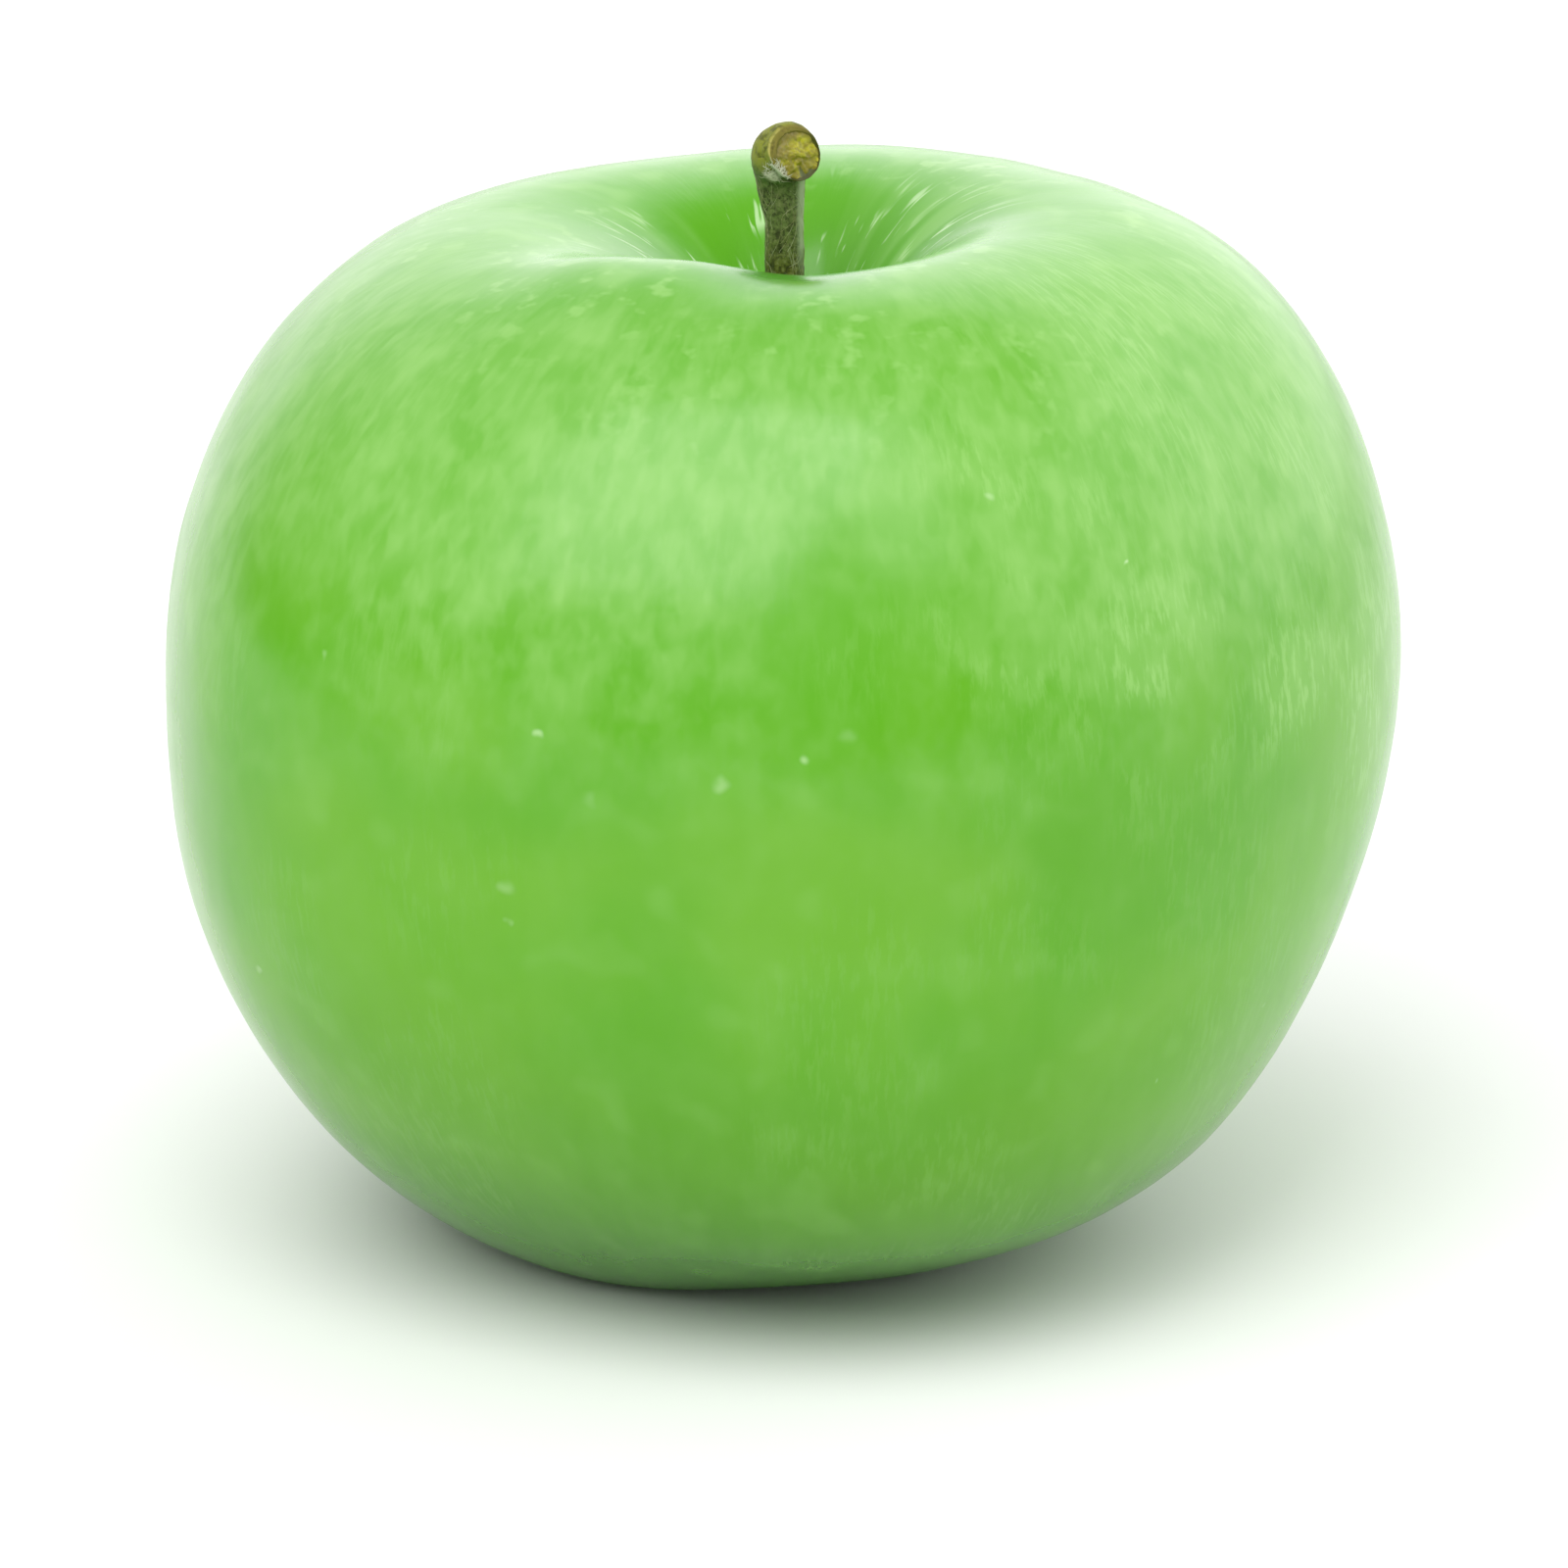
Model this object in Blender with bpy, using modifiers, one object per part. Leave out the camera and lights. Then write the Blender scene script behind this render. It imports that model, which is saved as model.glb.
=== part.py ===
"""Green apple: the fruit, its woody stem, and the dried calyx under it.

Metres, +Z up. The origin is on the table, under the middle of the fruit's box. -Y is the side
that shows best. The stem stands in a plain hole at the bottom of its cavity, and the calyx in a
plain hole at the bottom of the basin below.
"""

import math

import bmesh
import bpy
from mathutils import Matrix, Vector

# Fruit: sizes of the turned shape, before it is ribbed and leaned
FRUIT_RADIUS = 0.0400  # at the widest level
WIDEST_HEIGHT = 0.0374
SHOULDER_HEIGHT = 0.0671  # top of the ring round the stem cavity
SHOULDER_RADIUS = 0.0181
BASE_RADIUS = 0.0151  # ring that it stands on
CAVITY_DEPTH = 0.0145
BASIN_DEPTH = 0.0072

# Fruit: how far the handles of the outline's curves reach
PIT_FLARE = 0.0022  # outwards, where the cavity's wall leaves the stem
PIT_CLIMB = 0.50  # share of the cavity's depth, there
CAVITY_LIP = 0.52  # share of the shoulder's radius, inwards from the shoulder
SHOULDER_FULLNESS = (0.59, 0.51)  # shares of the way, from the shoulder and from the widest level
FLANK_FULLNESS = (0.59, 0.30)  # from the widest level and from the base ring
BASIN_LIP = 0.42  # share of the base's radius, inwards from the base ring
EYE_FLARE = 0.0036  # outwards, where the basin's wall leaves the calyx

# Fruit: how the grown shape departs from the turned one
RIB_COUNT = 5
RIB_SHARE = 0.017  # of the radius
RIB_TURN = math.radians(3)
FEET_TURN = math.radians(34)
FEET_RISE = 0.00065  # how far the base ring lifts between its five feet
PUCKER_COUNT = 10
PUCKER_DEPTH = 0.00035  # folds in the wall of the basin
PUCKER_FULL = 0.0090  # inside this radius they have their whole depth
BELLY_SHARE = 0.14  # of the radius, extra fullness low on one side
BELLY_TURN = math.radians(-58)
BELLY_FOCUS = 2.5  # how closely that fullness keeps to its side
LEAN = 0.039  # rise of the shoulder for each metre towards +X
DROOP = 0.12  # fall of the low flank for each metre towards +X
DROOP_FROM = 0.0120  # radius where that starts
BASE_SHIFT = 0.0032  # of the base, towards -X
PIT_SHIFT = 0.0011  # of the middle of the stem cavity, towards +X
FOOT_CUT = 0.0004  # the lowest skin, pressed flat where it stands

# Fruit: levels between which each of those fades in, as shares of the shoulder's height
BELOW_WIDEST = (0.55, 0.05)
ABOVE_WIDEST = (0.50, 1.00)
BELLY_TOP = (0.50, 0.10)
BELLY_FOOT = (0.00, 0.15)
DROOP_TOP = (0.50, 0.00)
NEAR_BASE = (0.16, 0.00)

# Holes that the stem and the calyx stand in
CLEARANCE = 0.0003
STEM_HOLE_DEPTH = 0.0030
CALYX_HOLE_DEPTH = 0.0034
ROUND_WITHIN = 0.0029  # inside this radius the turned shape stays as it is
GROWN_BEYOND = 0.0092  # and outside this one it is fully grown

# Stem
STEM_RADIUS = 0.00123
STEM_NECK_RADIUS = 0.00168
STEM_KNEE_RADIUS = 0.00198
STEM_FACE_RADIUS = 0.00182
STEM_KNEE_HEIGHT = 0.0695  # where the straight shaft ends
STEM_BEND_RADIUS = 0.00225
STEM_BEND = math.radians(72)
STEM_STUB = 0.00075  # from the bend to the cut face
STEM_FACE_EDGE = (0.75, 0.88)  # share of the stub, and of the radius, where its rim is worn round
STEM_FACES_TO = math.radians(-62)  # plan direction of the cut face, from +X
STEM_DRIFT = Vector((-0.0007, 0.0008, 0.0))  # the shaft's own lean over its length
STEM_DRIFT_FROM = 0.15  # share of the shaft where the lean starts
STEM_SWELL_FROM = 0.55  # share of the shaft where it starts to thicken

# Calyx: five dried sepals on a cup, round a tuft of stamens
CUP_RADIUS = 0.0025
CUP_WALL = 0.0008
CUP_HEIGHT = 0.0030
SEPAL_COUNT = 5
SEPAL_THICKNESS = 0.0006
SEPAL_WIDTH = 0.0026
SEPAL_TIP = 0.0005
SEPAL_TAPER = 2.2  # how late along its length a sepal narrows
SEPAL_ROOT = 0.0014  # how far its root runs up the inside of the cup, and hangs before it curls
SEPAL_REACH = 0.0030  # of the curled tip, outside the cup
SEPAL_DROP = 0.0036  # of the tip, below the cup's mouth
SEPAL_CURL = (0.0004, 0.0034)  # outwards and down, to the handle of its curl
SEPAL_DISH = 0.24  # hollow across, as a share of the half width
STAMEN_COUNT = 12
STAMEN_RADIUS = 0.0003
STAMEN_ROOT = 0.8  # share of the radius where a stamen leaves the pad
STAMEN_LENGTH = 0.0028
STAMEN_RINGS = (0.0006, 0.0010)  # radii of the inner and the outer ring
STAMEN_SPLAYS = (math.radians(7), math.radians(16))
PAD_EDGE = -0.0006  # height of the pad's rim, from the cup's mouth
PAD_MIDDLE = -0.0010

# Fineness of the solids
SEGMENTS = 72
CAVITY_STEPS = 13
SHOULDER_STEPS = 13
FLANK_STEPS = 14
BASIN_STEPS = 9
STEM_SIDES = 16
SHAFT_STEPS = 12
BEND_STEPS = 8
SEPAL_ACROSS = 4
SEPAL_ALONG = 8
CUP_SIDES = 24
PAD_SIDES = 20
STAMEN_SIDES = 6
MERGE = 0.00001

GREEN_SKIN = (0.150, 0.480, 0.055, 1.0)
STEM_BARK = (0.110, 0.105, 0.030, 1.0)
DRIED_SEPAL = (0.200, 0.150, 0.070, 1.0)
DRIED_STAMEN = (0.050, 0.030, 0.015, 1.0)


def clear_scene():
    for obj in list(bpy.data.objects):
        bpy.data.objects.remove(obj)


def collection_named(name):
    made = bpy.data.collections.new(name)
    bpy.context.scene.collection.children.link(made)
    return made


def material_named(name, colour, roughness):
    material = bpy.data.materials.new(name)
    material.use_nodes = True
    surface = material.node_tree.nodes["Principled BSDF"]
    surface.inputs["Base Color"].default_value = colour
    surface.inputs["Roughness"].default_value = roughness
    surface.inputs["Metallic"].default_value = 0.0
    return material


def add_object(name, data, collection, material=None):
    obj = bpy.data.objects.new(name, data)
    collection.objects.link(obj)
    if material:
        data.materials.append(material)
    return obj


def shown_mesh(obj):
    """A new mesh of the object as its modifiers leave it."""
    graph = bpy.context.evaluated_depsgraph_get()
    return bpy.data.meshes.new_from_object(obj.evaluated_get(graph))


def add_turned(name, profile, steps, collection, material=None):
    """A solid turned round Z from a profile of (radius, height) that runs down its outer side."""
    bm = bmesh.new()
    verts = [bm.verts.new((radius, 0.0, height)) for radius, height in profile]
    for start, end in zip(verts, verts[1:]):
        bm.edges.new((start, end))
    mesh = bpy.data.meshes.new(name)
    bm.to_mesh(mesh)
    bm.free()
    turned = add_object(name, mesh, collection, material)
    screw = turned.modifiers.new("turn", "SCREW")
    screw.axis = "Z"
    screw.steps = steps
    screw.render_steps = steps
    screw.use_merge_vertices = True
    screw.merge_threshold = MERGE
    return turned


def joined(name, body, pieces, collection, material):
    """The body and its repeats as one solid, in an object of its own."""
    union = body.modifiers.new("join", "BOOLEAN")
    union.operation = "UNION"
    union.operand_type = "COLLECTION"
    union.collection = pieces
    union.solver = "EXACT"
    union.use_self = True
    bpy.context.view_layer.update()
    made = add_object(name, shown_mesh(body), collection, material)
    for obj in [body, *pieces.objects]:
        bpy.data.objects.remove(obj)
    bpy.data.collections.remove(pieces)
    return made


def smooth_between(low, high, value):
    """0 below low, 1 above high, and a soft step between them. The two may be given either way round."""
    share = min(1.0, max(0.0, (value - low) / (high - low)))
    return share * share * (3 - 2 * share)


def on_bezier(corners, share):
    """The point at this share of a curve with a start, two handles and an end, as (radius, height)."""
    start, start_handle, end_handle, end = (Vector(corner) for corner in corners)
    left = 1 - share
    return (
        start * left ** 3
        + start_handle * 3 * left ** 2 * share
        + end_handle * 3 * left * share ** 2
        + end * share ** 3
    )


def bezier(start, start_handle, end_handle, end, steps):
    """Points along one curve, ends included."""
    corners = (start, start_handle, end_handle, end)
    return [tuple(on_bezier(corners, step / steps)) for step in range(steps + 1)]


def fruit_profile():
    """The turned outline at +X, from the floor of the stem hole, over the shoulder, to the calyx."""
    pit = (STEM_RADIUS + CLEARANCE, SHOULDER_HEIGHT - CAVITY_DEPTH)
    shoulder = (SHOULDER_RADIUS, SHOULDER_HEIGHT)
    widest = (FRUIT_RADIUS, WIDEST_HEIGHT)
    base = (BASE_RADIUS, 0.0)
    eye = (CUP_RADIUS + CLEARANCE, BASIN_DEPTH)
    to_shoulder, to_widest = SHOULDER_FULLNESS
    from_widest, to_base = FLANK_FULLNESS
    cavity = bezier(
        pit,
        (pit[0] + PIT_FLARE, pit[1] + CAVITY_DEPTH * PIT_CLIMB),
        (shoulder[0] - SHOULDER_RADIUS * CAVITY_LIP, shoulder[1]),
        shoulder,
        CAVITY_STEPS,
    )
    upper = bezier(
        shoulder,
        (shoulder[0] + (FRUIT_RADIUS - SHOULDER_RADIUS) * to_shoulder, shoulder[1]),
        (widest[0], widest[1] + (SHOULDER_HEIGHT - WIDEST_HEIGHT) * to_widest),
        widest,
        SHOULDER_STEPS,
    )
    lower = bezier(
        widest,
        (widest[0], widest[1] - WIDEST_HEIGHT * from_widest),
        (base[0] + (FRUIT_RADIUS - BASE_RADIUS) * to_base, base[1]),
        base,
        FLANK_STEPS,
    )
    basin = bezier(
        base,
        (base[0] - BASE_RADIUS * BASIN_LIP, base[1]),
        (eye[0] + EYE_FLARE, eye[1]),
        eye,
        BASIN_STEPS,
    )
    stem_floor = pit[1] - STEM_HOLE_DEPTH
    calyx_floor = eye[1] + CALYX_HOLE_DEPTH
    return [
        (0.0, stem_floor),
        (pit[0], stem_floor),
        *cavity,
        *upper[1:],
        *lower[1:],
        *basin[1:],
        (eye[0], calyx_floor),
        (0.0, calyx_floor),
    ]


def grown(point):
    """Where a point of the turned shape lies on the grown fruit, with its ribs, belly and lean."""
    radius = math.hypot(point.x, point.y)
    turn = math.atan2(point.y, point.x)
    level = point.z / SHOULDER_HEIGHT
    clear_of_holes = smooth_between(ROUND_WITHIN, GROWN_BEYOND, radius)
    below_widest = smooth_between(*BELOW_WIDEST, level)
    if point.z < WIDEST_HEIGHT:
        # The calyx hole moves with the base as one, so that it stays upright and round.
        below_widest = smooth_between(*BELOW_WIDEST, level * clear_of_holes)

    ribs = RIB_SHARE * math.cos(RIB_COUNT * (turn - RIB_TURN))
    low_flank = smooth_between(*BELLY_TOP, level) * smooth_between(*BELLY_FOOT, level)
    belly = BELLY_SHARE * low_flank * max(0.0, math.cos(turn - BELLY_TURN)) ** BELLY_FOCUS
    stretch = 1 + (ribs + belly) * clear_of_holes
    x = point.x * stretch
    y = point.y * stretch
    z = point.z

    near_base = smooth_between(*NEAR_BASE, level) * clear_of_holes
    between_feet = 0.5 - 0.5 * math.cos(RIB_COUNT * (turn - FEET_TURN))
    z += FEET_RISE * between_feet * near_base
    basin_wall = smooth_between(BASE_RADIUS, PUCKER_FULL, radius) * near_base
    z += PUCKER_DEPTH * math.cos(PUCKER_COUNT * turn) * basin_wall

    above_widest = smooth_between(*ABOVE_WIDEST, level)
    z += LEAN * x * above_widest * smooth_between(0.0, GROWN_BEYOND, radius)
    outer_flank = smooth_between(*DROOP_TOP, level) * smooth_between(DROOP_FROM, FRUIT_RADIUS, radius)
    z -= DROOP * x * outer_flank
    x -= BASE_SHIFT * below_widest
    if point.z > WIDEST_HEIGHT:
        x += PIT_SHIFT * smooth_between(SHOULDER_RADIUS, ROUND_WITHIN, radius)
    return Vector((x, y, max(z, FOOT_CUT)))


def build_fruit(collection, material):
    """Makes the fruit, and returns the move that put the middle of its box over the origin."""
    fruit = add_turned("fruit", fruit_profile(), SEGMENTS, collection, material)
    mesh = shown_mesh(fruit)
    fruit.modifiers.clear()
    fruit.data = mesh
    for vertex in mesh.vertices:
        vertex.co = grown(vertex.co)
    xs = [vertex.co.x for vertex in mesh.vertices]
    ys = [vertex.co.y for vertex in mesh.vertices]
    middle = ((min(xs) + max(xs)) / 2, (min(ys) + max(ys)) / 2)
    to_origin = Vector((-middle[0], -middle[1], -FOOT_CUT))
    mesh.transform(Matrix.Translation(to_origin))
    mesh.shade_smooth()
    mesh.set_sharp_from_angle(angle=math.radians(50))
    return to_origin


def stem_path():
    """Points and radii from the foot of the stem to its cut face."""
    foot = Vector((0.0, 0.0, SHOULDER_HEIGHT - CAVITY_DEPTH - STEM_HOLE_DEPTH + CLEARANCE))
    knee = Vector((0.0, 0.0, STEM_KNEE_HEIGHT)) + STEM_DRIFT
    outwards = Vector((math.cos(STEM_FACES_TO), math.sin(STEM_FACES_TO), 0.0))
    upwards = Vector((0.0, 0.0, 1.0))
    rows = []
    for step in range(SHAFT_STEPS):
        share = step / SHAFT_STEPS
        drift = STEM_DRIFT * smooth_between(STEM_DRIFT_FROM, 1.0, share)
        point = Vector((drift.x, drift.y, foot.z + (knee.z - foot.z) * share))
        swell = smooth_between(STEM_SWELL_FROM, 1.0, share)
        rows.append((point, STEM_RADIUS + (STEM_NECK_RADIUS - STEM_RADIUS) * swell))
    for step in range(BEND_STEPS + 1):
        share = step / BEND_STEPS
        angle = STEM_BEND * share
        point = (
            knee
            + outwards * STEM_BEND_RADIUS * (1 - math.cos(angle))
            + upwards * STEM_BEND_RADIUS * math.sin(angle)
        )
        bulge = math.sin(math.pi * share)
        end_radius = STEM_NECK_RADIUS + (STEM_FACE_RADIUS - STEM_NECK_RADIUS) * share
        rows.append((point, end_radius + (STEM_KNEE_RADIUS - STEM_NECK_RADIUS) * bulge))
    heading = outwards * math.sin(STEM_BEND) + upwards * math.cos(STEM_BEND)
    edge_place, edge_radius = STEM_FACE_EDGE
    rows.append((point + heading * STEM_STUB * edge_place, STEM_FACE_RADIUS))
    rows.append((point + heading * STEM_STUB, STEM_FACE_RADIUS * edge_radius))
    return rows


def build_stem(collection, material, place):
    curve = bpy.data.curves.new("stem", "CURVE")
    curve.dimensions = "3D"
    curve.bevel_depth = 1.0  # the radii are in metres
    curve.bevel_resolution = STEM_SIDES // 4 - 1
    curve.use_fill_caps = True
    rows = stem_path()
    spline = curve.splines.new("POLY")
    spline.points.add(len(rows) - 1)
    for point, (centre, radius) in zip(spline.points, rows):
        point.co = (*centre, 1.0)
        point.radius = radius
    stem = add_object("stem", curve, collection, material)
    stem.location = place


def add_sepal(index, collection):
    """One sepal: a strip down from the cup and out to its tip, dished across, given its thickness."""
    wall_middle = CUP_RADIUS - CUP_WALL / 2
    curl_out, curl_down = SEPAL_CURL
    line = (
        (wall_middle, SEPAL_ROOT),
        (wall_middle, -SEPAL_ROOT),
        (CUP_RADIUS + curl_out, -curl_down),
        (CUP_RADIUS + SEPAL_REACH, -SEPAL_DROP),
    )
    bm = bmesh.new()
    bmesh.ops.create_grid(bm, x_segments=SEPAL_ACROSS, y_segments=SEPAL_ALONG, size=1.0)
    for vertex in bm.verts:
        side = vertex.co.x
        share = (1 - vertex.co.y) / 2
        radius, height = on_bezier(line, share)
        half_width = (SEPAL_WIDTH - SEPAL_TIP) / 2 * (1 - share ** SEPAL_TAPER) + SEPAL_TIP / 2
        vertex.co = (radius - SEPAL_DISH * half_width * side * side, half_width * side, height)
    mesh = bpy.data.meshes.new(f"sepal_{index}")
    bm.to_mesh(mesh)
    bm.free()
    sepal = add_object(mesh.name, mesh, collection)
    thicken = sepal.modifiers.new("thicken", "SOLIDIFY")
    thicken.thickness = SEPAL_THICKNESS
    thicken.offset = 0.0
    sepal.rotation_euler.z = math.tau * index / SEPAL_COUNT + FEET_TURN


def build_sepals(collection, material, place):
    """The cup that stands in the calyx hole, with its five sepals joined on."""
    pieces = collection_named("sepal repeats")
    for index in range(SEPAL_COUNT):
        add_sepal(index, pieces)
    inner = CUP_RADIUS - CUP_WALL
    ceiling = CUP_HEIGHT - CUP_WALL
    profile = [
        (0.0, CUP_HEIGHT),
        (CUP_RADIUS, CUP_HEIGHT),
        (CUP_RADIUS, 0.0),
        (inner, 0.0),
        (inner, ceiling),
        (0.0, ceiling),
    ]
    cup = add_turned("cup", profile, CUP_SIDES, collection)
    sepals = joined("sepals", cup, pieces, collection, material)
    sepals.location = place


def add_stamen(index, collection):
    """One dried stamen: a thin cone with its root sunk in the tuft's pad."""
    turn = math.tau * index / STAMEN_COUNT
    ring = STAMEN_RINGS[index % 2]
    splay = STAMEN_SPLAYS[index % 2]
    bpy.ops.mesh.primitive_cone_add(
        vertices=STAMEN_SIDES,
        radius1=STAMEN_RADIUS,
        radius2=STAMEN_RADIUS * STAMEN_ROOT,
        depth=STAMEN_LENGTH,
        location=(0.0, 0.0, 0.0),
    )
    stamen = bpy.context.object
    stamen.name = f"stamen_{index}"
    root = Matrix.Translation((ring * math.cos(turn), ring * math.sin(turn), 0.0))
    away = Vector((-math.sin(turn), math.cos(turn), 0.0))
    lean = Matrix.Rotation(-splay, 4, away)
    hang = Matrix.Translation((0.0, 0.0, -STAMEN_LENGTH / 2))
    stamen.data.transform(root @ lean @ hang)
    for old in list(stamen.users_collection):
        old.objects.unlink(stamen)
    collection.objects.link(stamen)


def build_stamens(collection, material, place):
    """The pad inside the cup, with the ring of dried stamens joined on."""
    pieces = collection_named("stamen repeats")
    for index in range(STAMEN_COUNT):
        add_stamen(index, pieces)
    rim = CUP_RADIUS - CUP_WALL - CLEARANCE
    top = CUP_HEIGHT - CUP_WALL - CLEARANCE
    profile = [(0.0, top), (rim, top), (rim, PAD_EDGE), (0.0, PAD_MIDDLE)]
    pad = add_turned("pad", profile, PAD_SIDES, collection)
    stamens = joined("stamens", pad, pieces, collection, material)
    stamens.location = place


def main():
    clear_scene()
    apple = collection_named("green apple")
    skin = material_named("green skin", GREEN_SKIN, 0.32)
    bark = material_named("stem bark", STEM_BARK, 0.75)
    dried = material_named("dried sepal", DRIED_SEPAL, 0.85)
    dark = material_named("dried stamen", DRIED_STAMEN, 0.85)
    to_origin = build_fruit(apple, skin)
    build_stem(apple, bark, to_origin + Vector((PIT_SHIFT, 0.0, 0.0)))
    mouth_height = BASIN_DEPTH + CALYX_HOLE_DEPTH - CLEARANCE - CUP_HEIGHT
    mouth = to_origin + Vector((-BASE_SHIFT, 0.0, mouth_height))
    build_sepals(apple, dried, mouth)
    build_stamens(apple, dark, mouth)


main()
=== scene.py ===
# %% [markdown]
# # A green apple on a white table
#
# This lesson dresses a measured model of an apple. The model comes in as a fixed frame: four plain
# solids at their real size, in metres, named fruit, stem, sepals and stamens. We keep their places
# and their forms, and give each one a finer surface and a finish that is worked out from nodes.

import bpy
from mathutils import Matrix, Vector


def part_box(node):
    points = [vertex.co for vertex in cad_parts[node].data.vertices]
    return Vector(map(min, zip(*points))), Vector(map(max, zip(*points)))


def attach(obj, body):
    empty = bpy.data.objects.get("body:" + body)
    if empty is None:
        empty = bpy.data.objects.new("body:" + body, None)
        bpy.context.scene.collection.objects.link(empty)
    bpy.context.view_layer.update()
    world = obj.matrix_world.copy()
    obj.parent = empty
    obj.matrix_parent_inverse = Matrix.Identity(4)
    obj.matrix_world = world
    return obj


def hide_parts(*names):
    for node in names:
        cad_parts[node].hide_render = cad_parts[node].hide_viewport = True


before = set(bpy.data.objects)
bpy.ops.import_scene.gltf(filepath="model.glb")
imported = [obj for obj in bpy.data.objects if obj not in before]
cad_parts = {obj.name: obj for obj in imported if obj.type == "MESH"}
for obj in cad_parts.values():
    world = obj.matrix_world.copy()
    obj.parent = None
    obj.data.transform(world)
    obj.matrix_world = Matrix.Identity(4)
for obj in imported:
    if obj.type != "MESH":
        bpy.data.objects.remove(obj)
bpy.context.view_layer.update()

# %% [markdown]
# One millimetre is given a name, because everything on an apple is easier to think about in
# millimetres.

# %% Tools
import math
import random

import bmesh
import bpy
from mathutils import Matrix, Vector

MM = 0.001
UP = Vector((0.0, 0.0, 1.0))

# %% [markdown]
# Blender's operators work on whatever is selected, and the frame arrives selected. So each step
# starts by picking one object and nothing else. Inside edit mode the same holds for faces, edges
# and points, and a rule in code chooses them by their place, as a hand would by eye.

# %% Picking things


def pick_none():
    """Leaves edit mode and selects nothing, so that a new piece starts on its own."""
    if bpy.context.mode != "OBJECT":
        bpy.ops.object.mode_set(mode="OBJECT")
    bpy.ops.object.select_all(action="DESELECT")


def pick_only(obj):
    """Selects this object alone and makes it the active one."""
    pick_none()
    obj.select_set(True)
    bpy.context.view_layer.objects.active = obj


def pick_verts(obj, test):
    """In edit mode, selects the points whose place passes the test, and returns how many did."""
    bpy.ops.mesh.select_mode(type="VERT")
    bpy.ops.mesh.select_all(action="DESELECT")
    bm = bmesh.from_edit_mesh(obj.data)
    for vert in bm.verts:
        vert.select_set(test(vert.co))
    bm.select_flush(True)
    bmesh.update_edit_mesh(obj.data)
    return sum(vert.select for vert in bm.verts)


def edit(obj):
    """Goes into edit mode on this object alone, with all of it selected."""
    pick_only(obj)
    bpy.ops.object.mode_set(mode="EDIT")
    bpy.ops.mesh.select_all(action="SELECT")


def stop_editing():
    bpy.ops.object.mode_set(mode="OBJECT")


def added(name):
    """The primitive that was just added, with a name, and with its place put into its mesh."""
    piece = bpy.context.object
    piece.name = name
    bpy.ops.object.transform_apply()
    return piece


def picked_middle(obj):
    """In edit mode, the middle of the selected points."""
    places = [vert.co.copy() for vert in bmesh.from_edit_mesh(obj.data).verts if vert.select]
    return sum(places, Vector()) / len(places)


def apply_all(obj):
    """Applies every modifier on the object, first to last."""
    pick_only(obj)
    for modifier in list(obj.modifiers):
        bpy.ops.object.modifier_apply(modifier=modifier.name)


def join_all(pieces, name):
    """Joins the pieces into the first one."""
    pick_only(pieces[0])
    for piece in pieces:
        piece.select_set(True)
    bpy.ops.object.join()
    pieces[0].name = name
    pieces[0].data.name = name
    return pieces[0]


def tell(piece):
    """Says how large a mesh has become."""
    print(piece.name, "has", len(piece.data.polygons), "faces")


def box_middle(node, test):
    """The middle of the box round those points of a frame node that pass the test."""
    places = [vert.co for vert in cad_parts[node].data.vertices if test(vert.co)]
    lows = Vector(min(place[axis] for place in places) for axis in range(3))
    highs = Vector(max(place[axis] for place in places) for axis in range(3))
    return (lows + highs) / 2


# %% [markdown]
# Before anything is modelled we measure the frame. The foot of the stem gives the fruit's axis, and
# the top of the dried cup under the fruit gives the place of the calyx. Both are read from the
# frame's own points, so the new pieces stay right if the frame is ever made again.

# %% Measure the frame
stem_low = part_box("stem")[0]
sepals_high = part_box("sepals")[1]
stem_foot = box_middle("stem", lambda place: place.z < stem_low.z + 0.5 * MM)
calyx_root = box_middle("sepals", lambda place: place.z > sepals_high.z - 0.5 * MM)
fruit_heart = Vector((stem_foot.x, stem_foot.y, 33.0 * MM))


def in_mm(place):
    """A place as text, in millimetres."""
    return ", ".join(f"{value / MM:.2f}" for value in place)


print("the stem's foot is at", in_mm(stem_foot), "and the calyx's root at", in_mm(calyx_root))

# %% [markdown]
# ## The fruit
#
# The frame's fruit is made of flat triangles. We could model the fruit again from a sphere, but its
# lean, its low belly and its five lobes are already measured there, so a copy is the better start.
# Merging its loose triangles and turning them back into four-sided faces gives a clean cage, and a
# Subdivision Surface rounds it without changing its size.

# %% A cage from the frame's fruit


def new_piece(name, data):
    """A new object in the scene, picked alone."""
    piece = bpy.data.objects.new(name, data)
    bpy.context.scene.collection.objects.link(piece)
    pick_only(piece)
    return piece


def merged_copy(node, name):
    """A copy of a frame node with its loose triangles joined up into four-sided faces."""
    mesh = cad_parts[node].data.copy()
    mesh.name = name
    mesh.materials.clear()
    piece = new_piece(name, mesh)
    bpy.ops.mesh.customdata_custom_splitnormals_clear()
    edit(piece)
    bpy.ops.mesh.remove_doubles(threshold=0.005 * MM)
    bpy.ops.mesh.tris_convert_to_quads(face_threshold=math.radians(60), shape_threshold=math.radians(60))
    bpy.ops.mesh.faces_shade_smooth()
    stop_editing()
    return piece


skin = merged_copy("fruit", "apple_skin")
tell(skin)

# %% [markdown]
# The stem grows out of the flesh, so the skin has to close up on it. In the frame it stands in a
# plain hole with a hair's breadth of air round it. The walls of that hole are drawn in towards the
# stem's axis until they meet the bark.

# %% Close the skin on the stem
HOLE_REACH = 1.75 * MM
HOLE_CLOSE = 0.80

edit(skin)


def in_stem_hole(place):
    flat = Vector((place.x - stem_foot.x, place.y - stem_foot.y))
    return flat.length < HOLE_REACH and place.z > stem_foot.z - MM


wall_points = pick_verts(skin, in_stem_hole)
bpy.ops.transform.resize(value=(HOLE_CLOSE, HOLE_CLOSE, 1.0), center_override=stem_foot)
stop_editing()
print(wall_points, "points of the hole drawn in")

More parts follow.
